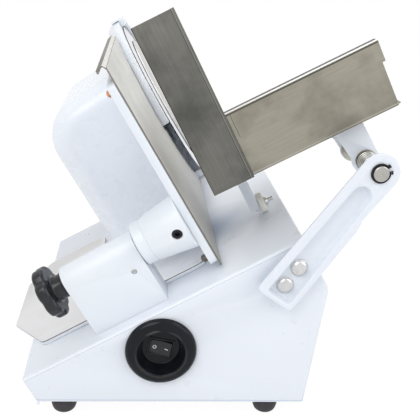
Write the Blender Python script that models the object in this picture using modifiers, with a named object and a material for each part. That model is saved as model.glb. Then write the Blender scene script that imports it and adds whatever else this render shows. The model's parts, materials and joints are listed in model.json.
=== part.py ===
"""Electric meat slicer with a gravity-fed sliding carriage.

Every length is in metres. X runs up the slope of the deck as seen from above, Y runs away from the
side with the switch, and Z is up. Four frames carry the pieces:

  base      level, with its origin on the front top edge of the near side panel
  deck      tilted with the deck, on the same origin
  head      square to the blade, standing on the deck at the foot of the gauge plate
  carriage  tilted with the carriage, on the axis of the guide shaft
"""

import math

import bmesh
import bpy
from mathutils import Matrix, Vector

# Clearances
SEAT_GAP = 0.0003
RUNNING_GAP = 0.0003
CUT_OVERRUN = 0.002
MERGE_DISTANCE = 0.00001

# Slopes
DECK_SLOPE = math.radians(30.35)
HEAD_TILT = math.radians(31.7)
CARRIAGE_TILT = math.radians(29.0)

# Base housing, folded from one sheet
DECK_LENGTH = 0.2944
BASE_DEPTH = 0.352
FRONT_FACE = 0.0270
REAR_FACET = 0.0590
REAR_UNDERCUT = 0.0124
BASE_WALL = 0.0016
BASE_FOLD_RADIUS = 0.0024
BASE_FOLD_STEPS = 2

# Bottom plate and the rubber feet pushed into it
BOTTOM_PLATE = 0.0012
BOTTOM_END_INSET = 0.0060
FOOT_RADIUS = 0.0125
FOOT_HEIGHT = 0.0170
FOOT_STRAIGHT = 0.0077
FOOT_SHOULDER_RADIUS = 0.0113
FOOT_TOE_RADIUS = 0.0085
FOOT_STEM_RADIUS = 0.0040
FOOT_BARB_RADIUS = 0.0054
FOOT_BARB_HEIGHT = 0.0030
FOOT_SIDE_INSET = 0.0155
FOOT_FRONT_INSET = 0.0249
FOOT_REAR_INSET = 0.0355

# Switch in the near side panel
SWITCH_X = 0.1294
SWITCH_Z = 0.0329
SWITCH_TURN = math.radians(-11.0)
BEZEL_RADIUS = 0.0336
BEZEL_HEIGHT = 0.0062
BEZEL_RIM_HEIGHT = 0.0025
BEZEL_EDGE_RADIUS = 0.0318
BEZEL_EDGE_HEIGHT = 0.0052
BEZEL_CREST_RADIUS = 0.0285
BEZEL_VALLEY_RADIUS = 0.0252
BEZEL_VALLEY_HEIGHT = 0.0040
COLLAR_RADIUS = 0.0238
COLLAR_HEIGHT = 0.0086
COLLAR_SHOULDER_HEIGHT = 0.0078
COLLAR_MOUTH_RADIUS = 0.0196
CUP_FLOOR_RADIUS = 0.0172
CUP_DEPTH = 0.0060
CUP_WALL = 0.0022
SWITCH_LENGTH = 0.0240
SWITCH_WIDTH = 0.0176
SWITCH_BODY_DEPTH = 0.0170
SWITCH_WALL = 0.0014
SWITCH_RIM = 0.0010
ROCKER_CROWN = 0.0034
ROCKER_WELL = 0.0060
ROCKER_TILT = math.radians(7.0)
ROCKER_VALLEY = 0.0019
ROCKER_END_THICKNESS = 0.0006
ROCKER_MIDDLE_THICKNESS = 0.0031
ROCKER_EDGE_RADIUS = 0.00035

# Support arms, pressed from plate, with a channel that seats on the panel
ARM_TURN = math.radians(26.5)
ARM_PLATE = 0.0030
ARM_STANDOFF = 0.0108
ARM_EYE_RADIUS = 0.0178
ARM_HALF_WIDTH = 0.0182
ARM_LOBE_HALF_WIDTH = 0.0228
ARM_LENGTH = 0.1500
ARM_TOE_INSET = 0.0495
ARM_TOE_DROP = 0.0394
ARM_WAIST = 0.0500
ARM_CORNER_RADIUS = 0.0075
CHANNEL_START = 0.0260
CHANNEL_TOP_HALF_WIDTH = 0.0062
CHANNEL_END_HALF_WIDTH = 0.0128
CHANNEL_EDGE_RADIUS = 0.0015
ARM_BOLT_TO_TOE = 0.0170
ARM_BOLT_SPACING = 0.0208

# Carriage bolts of the arms
BOLT_RADIUS = 0.0030
BOLT_HEAD_RADIUS = 0.0083
BOLT_HEAD_HEIGHT = 0.0044
NUT_PLATE = 0.0040
NUT_PLATE_END = 0.0070
NUT_PLATE_HALF_WIDTH = 0.0065
BOLT_STICKOUT = 0.0020

# Guide shaft, its clips, washers and bumper springs
SHAFT_RADIUS = 0.0070
SHAFT_CHAMFER = 0.0008
SHAFT_STICKOUT = 0.0030
CLIP_THICKNESS = 0.0011
CLIP_GROOVE = 0.0006
CLIP_WIDTH = 0.0020
CLIP_LUG_WIDTH = 0.0018
CLIP_OPENING = math.radians(26.0)
CLIP_HALF_GAP = math.radians(11.0)
CLIP_LUG_ANGLE = math.radians(17.0)
WASHER_WIDTH = 0.0028
WASHER_THICKNESS = 0.0012
SPRING_SHAFT_GAP = 0.00075
SPRING_WIRE = 0.0016
SPRING_TURNS = 9
SPRING_POINTS = 8

# Carriage: pusher fence, food trough, hinge bracket and bushes
FENCE_LEFT = -0.1400
FENCE_RIGHT = -0.1000
FENCE_BOTTOM = 0.0372
FENCE_TOP = 0.2015
FENCE_FACE_Y = 0.0196
FENCE_SHEET = 0.0012
FENCE_HEM_WIDTH = 0.0030
TROUGH_LEFT = -0.1330
TROUGH_RIGHT = 0.0465
TROUGH_FLOOR = 0.0400
TROUGH_TOP = 0.1005
TROUGH_DEPTH = 0.1180
TROUGH_SHEET = 0.0015
TROUGH_FLANGE = 0.0110
TROUGH_NOTCH_WIDTH = 0.0030
TROUGH_NOTCH_DROP = 0.0200
TROUGH_LIP = 0.0060
BRACKET_LEFT = -0.0175
BRACKET_RIGHT = 0.0100
BRACKET_NEAR_Y = 0.0340
BRACKET_FAR_Y = 0.0795
BRACKET_PLATE = 0.0030
BRACKET_EYE_WALL = 0.0034
BUSH_WALL = 0.0026
BUSH_FLANGE_WIDTH = 0.0024
BUSH_FLANGE = 0.0015

# Roller that rests on the deck and its leg
ROLLER_RADIUS = 0.0110
ROLLER_WIDTH = 0.0070
ROLLER_BORE = 0.0040
ROLLER_OUTER_LIP = 0.0088
ROLLER_INNER_LIP = 0.0062
ROLLER_REAR_INSET = 0.0199
ROLLER_Y = 0.1010
LEG_PLATE = 0.0030
LEG_FOOT_HALF = 0.0090
LEG_TOE_HALF = 0.0054
LEG_TOE_DROP = 0.0060
LEG_TAB_WIDTH = 0.0130
LEG_TAB_LENGTH = 0.0210
PIN_HEAD_RADIUS = 0.0062
PIN_HEAD = 0.0026

# Screws under the trough
TROUGH_SCREW_RADIUS = 0.0020
TROUGH_SCREW_HEAD_RADIUS = 0.0042
TROUGH_SCREW_HEAD = 0.0018
TROUGH_SCREW_CROWN_RADIUS = 0.0025

# Head: gauge plate, its backing casting and the adjusting gear
HEAD_TO_SHAFT = 0.1629
GAUGE_NEAR_Y = 0.0180
GAUGE_BOTTOM = 0.0050
GAUGE_SHEET = 0.0015
GAUGE_FLANGE = 0.0100
GAUGE_LIP = 0.0034
GAUGE_CORNER = 0.0060
GAUGE_TIP = math.radians(246.0)
GAUGE_TOP_ANGLE = math.radians(120.4)
GAUGE_RING_GAP = 0.0055
GAUGE_STEP = math.radians(2.0)
GAUGE_OPEN = 0.0090
BACKING_THICKNESS = 0.0075
BACKING_WALL = 0.0030
BACKING_TOP_DROP = 0.0140
BACKING_BOTTOM = 0.0090
BACKING_POCKET_Y = 0.0660
AXIS_Y = 0.0295
AXIS_V = 0.0575
ROD_RADIUS = 0.0100
ROD_BORE_LENGTH = 0.0360
BOSS_LENGTH = 0.0425
BOSS_LEFT_RADIUS = 0.0212
BOSS_RIGHT_RADIUS = 0.0275
BOSS_RING = 0.0040
BOSS_GROOVE = 0.0008
SET_SCREW_RADIUS = 0.0048
SET_SCREW_SOCKET = 0.0026
SET_SCREW_DROP = 0.0100
GAUGE_SCREW_RADIUS = 0.0019
GAUGE_SCREW_HEAD_RADIUS = 0.0036
GAUGE_SCREW_HEAD = 0.0055
GAUGE_UPPER_SCREW_Y = 0.0450
GAUGE_UPPER_SCREW_DROP = 0.0240
GAUGE_LOWER_SCREW_Y = 0.0260
GAUGE_LOWER_SCREW_V = 0.0160

# Knob housing and thickness knob
HOUSING_RIGHT = -0.0600
HOUSING_LENGTH = 0.0760
HOUSING_NEAR_Y = 0.0135
HOUSING_END_RADIUS = 0.0080
LEAD_RADIUS = 0.0040
LEAD_LENGTH = 0.0600
KNOB_RADIUS = 0.0258
KNOB_THICKNESS = 0.0120
KNOB_LOBES = 7
KNOB_LOBE_POINTS = 6
KNOB_LOBE_DEPTH_SHARE = 0.14
KNOB_DIP_POWER = 1.5
KNOB_EDGE_RADIUS = 0.0022
KNOB_HUB_RADIUS = 0.0130
KNOB_HUB_WAIST_RADIUS = 0.0120
KNOB_HUB_LENGTH = 0.0120
KNOB_SCREW_DEPTH = 0.0090
KNOB_FACE_DISH = 0.0011
HOUSING_SCREW_RADIUS = 0.0024
HOUSING_SCREW_INSET = 0.0130
HOUSING_SCREW_DROP = 0.0156

# Blade, its frame, guard and drive
BLADE_RADIUS = 0.1000
BLADE_FAR_INSET = 0.0270
BLADE_DECK_GAP = 0.0025
BLADE_EDGE = 0.0003
BLADE_SHEET = 0.0025
BLADE_BEVEL_WIDTH = 0.0100
BLADE_BEVEL_RISE = 0.0013
BLADE_RIM_WIDTH = 0.0160
BLADE_SLOPE_WIDTH = 0.0220
BLADE_DISH_DEPTH = 0.0040
COVER_EDGE_GAP = 0.0030
COVER_SHEET = 0.0014
COVER_RISE = 0.0042
COVER_SLOPE_WIDTH = 0.0070
COVER_BOLT_RADIUS = 0.0030
COVER_BOLT_HEAD_RADIUS = 0.0085
COVER_BOLT_HEAD = 0.0026
COVER_BOLT_LENGTH = 0.0160
RING_CLEARANCE = 0.0025
RING_WALL = 0.0085
RING_BACK = -0.0095
RING_RIM_DEPTH = 0.0080
RING_TAPER = 0.0060
WEB = 0.0035
CUTTING_WEB_INSET = 0.0080
CUTTING_START = math.radians(184.0)
CUTTING_END = math.radians(261.0)
FRAME_BOSS_RADIUS = 0.0235
FRAME_BOSS_LENGTH = 0.0270
FRAME_FOOT_LENGTH = 0.0240
FRAME_FOOT_HEIGHT = 0.0300
FRAME_FOOT_WIDTH = 0.0540
FRAME_FOOT_FAR_INSET = 0.0080
GUARD_HEIGHT = 0.0056
GUARD_START = math.radians(84.0)
GUARD_END = math.radians(-96.0)
CAP_HALF_WIDTH = 0.0140
CAP_BACK = 0.0100
CAP_RISE = 0.0012
BEARING_RADIUS = 0.0200
BEARING_WIDTH = 0.0120
BLADE_SHAFT_RADIUS = 0.0085
WHEEL_RADIUS = 0.0220
WHEEL_WIDTH = 0.0120
WHEEL_TEETH = 30
WHEEL_TOOTH = 0.0018
TOOTH_PLACE_SHARES = (0.0, 0.3, 0.5, 0.8)
TOOTH_DROP_SHARES = (1.0, 1.0, 0.0, 0.0)
WORM_RADIUS = 0.0070
WORM_FAR_REACH = 0.0180
WORM_NEAR_REACH = 0.0250
MOTOR_RADIUS = 0.0320
MOTOR_LENGTH = 0.0980
MOTOR_GAP_TO_WORM = 0.0040
MOTOR_END_CAP = 0.0140
MOTOR_END_RADIUS = 0.0190
MOTOR_SADDLE_HALF_WIDTH = 0.0220
WORM_NECK_RADIUS = 0.0039
WORM_TIP_RADIUS = 0.0050
WORM_TAPER = 0.0035

# Motor cover, a moulded hood on the deck behind the blade
HOOD_LENGTH = 0.1080
HOOD_NEAR_GAP = 0.0180
HOOD_FAR_INSET = 0.0005
HOOD_TOP_RISE = 0.0745
HOOD_TOP_DROP = 0.0080
HOOD_RADIUS = 0.0440
HOOD_SIDE_RADIUS = 0.0240
HOOD_WALL = 0.0025
HOOD_STEPS = 6

# Receiving tray on the deck
TRAY_HOUSING_GAP = 0.0010
TRAY_FRONT = -0.0250
TRAY_FRONT_CORNER = 0.0190
TRAY_NEAR_CHAMFER = 0.0765
TRAY_FAR_CHAMFER = 0.0390
TRAY_FAR_INSET = 0.0860
TRAY_FAR_CORNER = 0.0020
TRAY_HOOD_GAP = 0.0184
TRAY_HOOD_SIDE_GAP = 0.0080
TRAY_HEAD_GAP = 0.0142
TRAY_CORNER_RADIUS = 0.0100
TRAY_SHEET = 0.0012
TRAY_HEIGHT = 0.0045
TRAY_LIP = 0.0014

# Cable gland in the rear panel
GLAND_RADIUS = 0.0085
GLAND_NUT_RADIUS = 0.0105
GLAND_BORE = 0.0038
GLAND_TIP_RADIUS = 0.0068
GLAND_LENGTH = 0.0140
GLAND_SHOULDER = 0.0084
GLAND_FAR_INSET = 0.0520
GLAND_RISE = 0.0383

# Facets round circles
ROUND_STEPS = 24
SMALL_ROUND_STEPS = 12
ARC_STEPS = 8

PARTS_NAME = "meat_slicer"
CUTTERS_NAME = "meat_slicer_cutters"

# Colours of the finishes: base colour, roughness, metallic
FINISHES = {
    "white_paint": ((0.83, 0.86, 0.90), 0.35, 0.0),
    "stainless": ((0.62, 0.61, 0.58), 0.32, 1.0),
    "dark_stainless": ((0.33, 0.33, 0.31), 0.38, 1.0),
    "bright_steel": ((0.72, 0.72, 0.73), 0.20, 1.0),
    "zinc_steel": ((0.55, 0.56, 0.55), 0.40, 1.0),
    "brass": ((0.80, 0.48, 0.25), 0.30, 1.0),
    "black_plastic": ((0.025, 0.026, 0.030), 0.35, 0.0),
    "black_rubber": ((0.020, 0.020, 0.022), 0.70, 0.0),
    "cream_plastic": ((0.80, 0.76, 0.64), 0.45, 0.0),
}

# Turns that lay a drawing, made in the XY plane, into another plane
LAID = {
    "XY": Matrix.Identity(4),
    "XZ": Matrix.Rotation(math.radians(90.0), 4, "X"),
    "YZ": Matrix.Rotation(math.radians(90.0), 4, "Z") @ Matrix.Rotation(math.radians(90.0), 4, "X"),
}


# Scene and frames

def clear_scene():
    for item in list(bpy.data.objects):
        bpy.data.objects.remove(item, do_unlink=True)


def make_collection(name):
    group = bpy.data.collections.new(name)
    bpy.context.scene.collection.children.link(group)
    return group


def make_finish(name):
    colour, roughness, metallic = FINISHES[name]
    paint = bpy.data.materials.new(name)
    paint.use_nodes = True
    shader = paint.node_tree.nodes["Principled BSDF"]
    shader.inputs["Base Color"].default_value = (*colour, 1.0)
    shader.inputs["Roughness"].default_value = roughness
    shader.inputs["Metallic"].default_value = metallic
    paint.diffuse_color = (*colour, 1.0)
    return paint


def make_frame(name, parent, place, tilt):
    frame = bpy.data.objects.new(name, None)
    parts.objects.link(frame)
    frame.parent = parent
    frame.location = place
    frame.rotation_euler = (0.0, -tilt, 0.0)
    return frame


def add_object(name, mesh, frame, finish, place=(0.0, 0.0, 0.0)):
    item = bpy.data.objects.new(name, mesh)
    parts.objects.link(item)
    item.parent = frame
    item.location = place
    mesh.materials.clear()
    mesh.materials.append(make_finish(finish))
    mesh.shade_smooth()
    mesh.set_sharp_from_angle(angle=math.radians(35.0))
    return item


def make_cutter(item):
    parts.objects.unlink(item)
    cutters.objects.link(item)
    item.hide_render = True
    item.display_type = "WIRE"
    return item


def add_boolean(item, other, operation, solver):
    make_cutter(other)
    step = item.modifiers.new(f"{operation.lower()} {other.name}", "BOOLEAN")
    step.operation = operation
    step.solver = solver
    step.object = other
    return item


def cut(item, *others, solver="EXACT"):
    for other in others:
        add_boolean(item, other, "DIFFERENCE", solver)
    return item


def join(item, *others, solver="EXACT"):
    for other in others:
        add_boolean(item, other, "UNION", solver)
    return item


# Outlines

def arc(centre, radius, start, end, steps=ARC_STEPS):
    points = []
    for step in range(steps + 1):
        angle = start + (end - start) * step / steps
        points.append((centre[0] + radius * math.cos(angle), centre[1] + radius * math.sin(angle)))
    return points


def circle(centre, radius, steps=ROUND_STEPS):
    return arc(centre, radius, 0.0, math.tau, steps)[:-1]


def round_corners(corners, radius, steps=4):
    """Return the outline of a polygon whose corners are rounded, each by its own radius or one for all."""
    radii = radius if isinstance(radius, (list, tuple)) else [radius] * len(corners)
    outline = []
    for index, corner in enumerate(corners):
        here = Vector(corner)
        before = (Vector(corners[index - 1]) - here).normalized()
        after = (Vector(corners[(index + 1) % len(corners)]) - here).normalized()
        size = radii[index]
        if size <= 0.0:
            outline.append(tuple(here))
            continue
        half = before.angle(after) / 2.0
        centre = here + (before + after).normalized() * (size / math.sin(half))
        first = here + before * (size / math.tan(half)) - centre
        last = here + after * (size / math.tan(half)) - centre
        turn = first.angle_signed(last)
        for step in range(steps + 1):
            share = step / steps
            outline.append(tuple(centre + Matrix.Rotation(-turn * share, 2) @ first))
    return outline


def inset_outline(corners, distance):
    """Move every side of a convex or concave polygon, listed anticlockwise, inwards by a distance."""
    lines = []
    for index, corner in enumerate(corners):
        start, end = Vector(corner), Vector(corners[(index + 1) % len(corners)])
        along = (end - start).normalized()
        lines.append((start + Vector((-along.y, along.x)) * distance, along))
    outline = []
    for index, (start, along) in enumerate(lines):
        before, direction = lines[index - 1]
        gap = before - start
        reach = direction.cross(gap) / direction.cross(along)
        outline.append(tuple(start + along * reach))
    return outline


def box_outline(low_x, high_x, low_y, high_y):
    return [(low_x, low_y), (high_x, low_y), (high_x, high_y), (low_x, high_y)]


# Solids

def curve_to_mesh(curve, name):
    """Turn a curve into a closed mesh and drop the curve."""
    temporary = bpy.data.objects.new(name, curve)
    parts.objects.link(temporary)
    bpy.context.view_layer.update()
    depsgraph = bpy.context.evaluated_depsgraph_get()
    mesh = bpy.data.meshes.new_from_object(temporary.evaluated_get(depsgraph))
    bpy.data.objects.remove(temporary, do_unlink=True)
    mesh.name = name
    work = bmesh.new()
    work.from_mesh(mesh)
    bmesh.ops.remove_doubles(work, verts=work.verts, dist=MERGE_DISTANCE)
    work.to_mesh(mesh)
    work.free()
    return mesh


def plate(name, outline, plane, low, high, frame, finish, holes=(), edge=0.0, place=(0.0, 0.0, 0.0)):
    """Extrude a flat outline between two heights along the normal of its plane.

    edge rounds the rims, and place moves the origin, about which the outline is drawn.
    """
    curve = bpy.data.curves.new(name, "CURVE")
    curve.dimensions = "2D"
    curve.fill_mode = "BOTH"
    curve.extrude = (high - low) / 2.0 - edge
    curve.bevel_depth = edge
    curve.bevel_resolution = 0
    curve.offset = -edge
    for points in (outline, *holes):
        spline = curve.splines.new("POLY")
        spline.points.add(len(points) - 1)
        for point, (across, along) in zip(spline.points, points):
            point.co = (across, along, 0.0, 1.0)
        spline.use_cyclic_u = True
    mesh = curve_to_mesh(curve, name)
    middle = (low + high) / 2.0
    shift = [0.0 if axis in plane else middle for axis in "XYZ"]
    mesh.transform(Matrix.Translation(shift) @ LAID[plane])
    return add_object(name, mesh, frame, finish, place)


def block(name, low, high, frame, finish, place=(0.0, 0.0, 0.0)):
    """Make a box between two opposite corners."""
    work = bmesh.new()
    bmesh.ops.create_cube(work, size=1.0)
    size = [top - bottom for bottom, top in zip(low, high)]
    middle = [(top + bottom) / 2.0 for bottom, top in zip(low, high)]
    bmesh.ops.scale(work, vec=size, verts=work.verts)
    bmesh.ops.translate(work, vec=middle, verts=work.verts)
    mesh = bpy.data.meshes.new(name)
    work.to_mesh(mesh)
    work.free()
    return add_object(name, mesh, frame, finish, place)


AXIS_TURNS = {
    "X": Matrix.Rotation(math.radians(90.0), 4, "Y"),
    "Y": Matrix.Rotation(math.radians(-90.0), 4, "X"),
    "Z": Matrix.Identity(4),
}


def rod(name, radius, axis, low, high, centre, frame, finish, top_radius=None, steps=ROUND_STEPS):
    """Make a cylinder or cone along an axis from low to high; centre holds its place across the axis."""
    work = bmesh.new()
    bmesh.ops.create_cone(
        work, cap_ends=True, segments=steps, radius1=radius,
        radius2=radius if top_radius is None else top_radius, depth=high - low)
    mesh = bpy.data.meshes.new(name)
    work.to_mesh(mesh)
    work.free()
    shift = list(centre)
    shift["XYZ".index(axis)] += (low + high) / 2.0
    mesh.transform(Matrix.Translation(shift) @ AXIS_TURNS[axis])
    return add_object(name, mesh, frame, finish)


def turned(name, profile, axis, frame, finish, place=(0.0, 0.0, 0.0), closed=False, steps=ROUND_STEPS):
    """Turn a profile of (radius, height) points about an axis through place.

    The profile starts at the top and runs down its outer side.
    """
    mesh = bpy.data.meshes.new(name)
    edges = [(index, index + 1) for index in range(len(profile) - 1)]
    if closed:
        edges.append((len(profile) - 1, 0))
    mesh.from_pydata([(radius, 0.0, height) for radius, height in profile], edges, [])
    item = add_object(name, mesh, frame, finish, place)
    item.rotation_euler = AXIS_TURNS[axis].to_euler()
    screw = item.modifiers.new("turn", "SCREW")
    screw.axis = "Z"
    screw.steps = steps
    screw.render_steps = steps
    screw.use_merge_vertices = True
    screw.merge_threshold = MERGE_DISTANCE
    screw.use_smooth_shade = True
    return item


def tube_ring(name, outer, inner, axis, low, high, centre, frame, finish, steps=ROUND_STEPS):
    """Make a plain ring along an axis."""
    profile = [(inner, high), (outer, high), (outer, low), (inner, low)]
    return turned(name, profile, axis, frame, finish, place=centre, closed=True, steps=steps)


# Places shared by several pieces

def deck_point(along, above):
    """Turn a place on the deck into level X and Z."""
    return (
        along * math.cos(DECK_SLOPE) - above * math.sin(DECK_SLOPE),
        along * math.sin(DECK_SLOPE) + above * math.cos(DECK_SLOPE))


SHAFT_S = DECK_LENGTH - ARM_TOE_INSET + ARM_LENGTH * math.cos(ARM_TURN)
SHAFT_N = ARM_LENGTH * math.sin(ARM_TURN) - ARM_TOE_DROP
SHAFT_X, SHAFT_Z = deck_point(SHAFT_S, SHAFT_N)
FRONT_BOTTOM_X, BASE_BOTTOM = deck_point(0.0, -FRONT_FACE)
FACET_X, FACET_Z = deck_point(DECK_LENGTH, -REAR_FACET)
REAR_BOTTOM_X = FACET_X - REAR_UNDERCUT
ARM_DIRECTION = DECK_SLOPE + ARM_TURN
ARM_SEAT = ARM_PLATE + SEAT_GAP
ARM_OUTER = ARM_STANDOFF
ARM_INNER = ARM_STANDOFF - ARM_PLATE


SPRING_RADIUS = SHAFT_RADIUS + SPRING_SHAFT_GAP + SPRING_WIRE / 2.0
WASHER_RADIUS = SHAFT_RADIUS + WASHER_WIDTH
CLIP_RADIUS = SHAFT_RADIUS + CLIP_WIDTH
CLIP_LUG_RADIUS = CLIP_RADIUS + CLIP_LUG_WIDTH
BUSH_RADIUS = SHAFT_RADIUS + BUSH_WALL
BUSH_FLANGE_RADIUS = BUSH_RADIUS + BUSH_FLANGE_WIDTH
BRACKET_EYE_RADIUS = BUSH_RADIUS + BRACKET_EYE_WALL
HEAD_FOOT_S = SHAFT_S - HEAD_TO_SHAFT
RING_INNER_RADIUS = BLADE_RADIUS + RING_CLEARANCE
RING_OUTER_RADIUS = RING_INNER_RADIUS + RING_WALL
BLADE_Y = BASE_DEPTH - BLADE_FAR_INSET
BLADE_V = RING_OUTER_RADIUS + BLADE_DECK_GAP
BLADE_RIM_RADIUS = BLADE_RADIUS - BLADE_RIM_WIDTH
BLADE_DISH_RADIUS = BLADE_RIM_RADIUS - BLADE_SLOPE_WIDTH
COVER_RADIUS = BLADE_RIM_RADIUS - COVER_EDGE_GAP
COVER_EDGE_RADIUS = COVER_RADIUS - COVER_SLOPE_WIDTH
GAUGE_TOP = BLADE_V + (RING_OUTER_RADIUS + GAUGE_RING_GAP) * math.sin(GAUGE_TOP_ANGLE)
FRAME_FOOT_FAR_Y = BASE_DEPTH - FRAME_FOOT_FAR_INSET
FRAME_FOOT_NEAR_Y = FRAME_FOOT_FAR_Y - FRAME_FOOT_WIDTH
MOTOR_FAR_Y = BLADE_Y - WORM_NEAR_REACH - MOTOR_GAP_TO_WORM
MOTOR_NEAR_Y = MOTOR_FAR_Y - MOTOR_LENGTH
HOOD_RIGHT = RING_BACK - SEAT_GAP
GLAND_Y = BASE_DEPTH - GLAND_FAR_INSET
GLAND_Z = BASE_BOTTOM + GLAND_RISE
HOOD_NEAR_Y = MOTOR_NEAR_Y - HOOD_NEAR_GAP
HOOD_FAR_Y = BASE_DEPTH - HOOD_FAR_INSET
HOOD_TOP = BLADE_V + HOOD_TOP_RISE
HOUSING_FAR_Y = 2.0 * AXIS_Y - HOUSING_NEAR_Y


def arm_point(along, across):
    """Turn a place along the arm, from the shaft down, and across it into level X and Z."""
    return (
        SHAFT_X - along * math.cos(ARM_DIRECTION) - across * math.sin(ARM_DIRECTION),
        SHAFT_Z - along * math.sin(ARM_DIRECTION) + across * math.cos(ARM_DIRECTION))


def arm_bolt_places():
    """Give the distances of both bolts from the shaft, the upper one first."""
    lower = ARM_LENGTH - ARM_BOLT_TO_TOE
    return lower - ARM_BOLT_SPACING, lower


def side_range(side, near, far):
    """Give the Y range of a piece that stands off the near or the far panel by near to far."""
    if side == "near":
        return -far, -near
    return BASE_DEPTH + near, BASE_DEPTH + far


# Base

def make_base_housing(base):
    corners = [
        (0.0, 0.0),
        (FRONT_BOTTOM_X, BASE_BOTTOM),
        (REAR_BOTTOM_X, BASE_BOTTOM),
        (FACET_X, FACET_Z),
        deck_point(DECK_LENGTH, 0.0)]
    housing = plate("base_housing", corners, "XZ", 0.0, BASE_DEPTH, base, "white_paint")
    work = bmesh.new()
    work.from_mesh(housing.data)
    folds = [
        edge for edge in work.edges
        if max(vert.co.z for vert in edge.verts) > BASE_BOTTOM + BASE_WALL
        and edge.calc_face_angle() > math.radians(15.0)]
    bmesh.ops.bevel(work, geom=folds, offset=BASE_FOLD_RADIUS, segments=BASE_FOLD_STEPS, profile=0.5,
                    affect="EDGES", clamp_overlap=True)
    work.to_mesh(housing.data)
    work.free()
    inner = inset_outline(corners, BASE_WALL)
    low = BASE_BOTTOM - CUT_OVERRUN
    inner[1] = (inner[1][0] + (inner[0][0] - inner[1][0]) * (low - inner[1][1]) / (inner[0][1] - inner[1][1]), low)
    inner[2] = (inner[2][0] + (inner[3][0] - inner[2][0]) * (low - inner[2][1]) / (inner[3][1] - inner[2][1]), low)
    hollow = plate("base_hollow", inner, "XZ", BASE_WALL, BASE_DEPTH - BASE_WALL, base, "white_paint")
    switch_hole = rod(
        "switch_hole", COLLAR_RADIUS + RUNNING_GAP, "Y", -CUT_OVERRUN, BASE_WALL + CUT_OVERRUN,
        (SWITCH_X, 0.0, SWITCH_Z), base, "white_paint")
    gland_hole = rod(
        "gland_hole", GLAND_RADIUS + RUNNING_GAP, "X", REAR_BOTTOM_X - GLAND_LENGTH,
        FACET_X + CUT_OVERRUN, (0.0, GLAND_Y, GLAND_Z), base, "white_paint", steps=SMALL_ROUND_STEPS)
    cut(housing, hollow, switch_hole, gland_hole)
    for side in ("near", "far"):
        low, high = side_range(side, -BASE_WALL - CUT_OVERRUN, CUT_OVERRUN)
        for number, along in enumerate(arm_bolt_places()):
            x, z = arm_point(along, 0.0)
            hole = rod(
                f"{side}_bolt_hole_{number}", BOLT_RADIUS + RUNNING_GAP, "Y", low, high,
                (x, 0.0, z), base, "white_paint", steps=SMALL_ROUND_STEPS)
            cut(housing, hole)
    return housing


def foot_places():
    for x in (FRONT_BOTTOM_X + FOOT_FRONT_INSET, REAR_BOTTOM_X - FOOT_REAR_INSET):
        for y in (FOOT_SIDE_INSET, BASE_DEPTH - FOOT_SIDE_INSET):
            yield x, y


def make_bottom_plate(base):
    edge = BASE_WALL + SEAT_GAP
    outline = box_outline(
        FRONT_BOTTOM_X + BOTTOM_END_INSET, REAR_BOTTOM_X - BOTTOM_END_INSET, edge, BASE_DEPTH - edge)
    holes = [circle(place, FOOT_STEM_RADIUS + RUNNING_GAP, SMALL_ROUND_STEPS) for place in foot_places()]
    plate("bottom_plate", outline, "XY", BASE_BOTTOM, BASE_BOTTOM + BOTTOM_PLATE, base, "zinc_steel", holes)


def make_feet(base):
    """Domed rubber feet whose barbed stems pass through the bottom plate."""
    stem = SEAT_GAP + BOTTOM_PLATE + SEAT_GAP
    shoulder = (FOOT_STRAIGHT + FOOT_HEIGHT) / 2.0
    profile = [
        (0.0, stem + FOOT_BARB_HEIGHT), (FOOT_STEM_RADIUS, stem + FOOT_BARB_HEIGHT),
        (FOOT_BARB_RADIUS, stem), (FOOT_STEM_RADIUS, stem), (FOOT_STEM_RADIUS, 0.0), (FOOT_RADIUS, 0.0),
        (FOOT_RADIUS, -FOOT_STRAIGHT), (FOOT_SHOULDER_RADIUS, -shoulder), (FOOT_TOE_RADIUS, -FOOT_HEIGHT),
        (0.0, -FOOT_HEIGHT)]
    top = BASE_BOTTOM - SEAT_GAP
    for number, (x, y) in enumerate(foot_places(), start=1):
        turned(f"rubber_foot_{number}", profile, "Z", base, "black_rubber", (x, y, top), steps=16)


def make_gland(base):
    """A cable gland through the rear panel, with its lock nut inside."""
    wall_x = REAR_BOTTOM_X + (FACET_X - REAR_BOTTOM_X) * GLAND_RISE / (FACET_Z - BASE_BOTTOM)
    lean = math.atan2(FACET_X - REAR_BOTTOM_X, FACET_Z - BASE_BOTTOM)
    clear = GLAND_NUT_RADIUS * math.tan(lean) + SEAT_GAP
    profile = [
        (GLAND_BORE, GLAND_LENGTH), (GLAND_TIP_RADIUS, GLAND_LENGTH), (GLAND_NUT_RADIUS, GLAND_SHOULDER),
        (GLAND_NUT_RADIUS, clear), (GLAND_RADIUS, clear), (GLAND_RADIUS, -GLAND_LENGTH),
        (GLAND_BORE, -GLAND_LENGTH)]
    turned("cable_gland", profile, "X", base, "black_plastic", (wall_x, GLAND_Y, GLAND_Z), closed=True,
           steps=24)


# Switch

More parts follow.
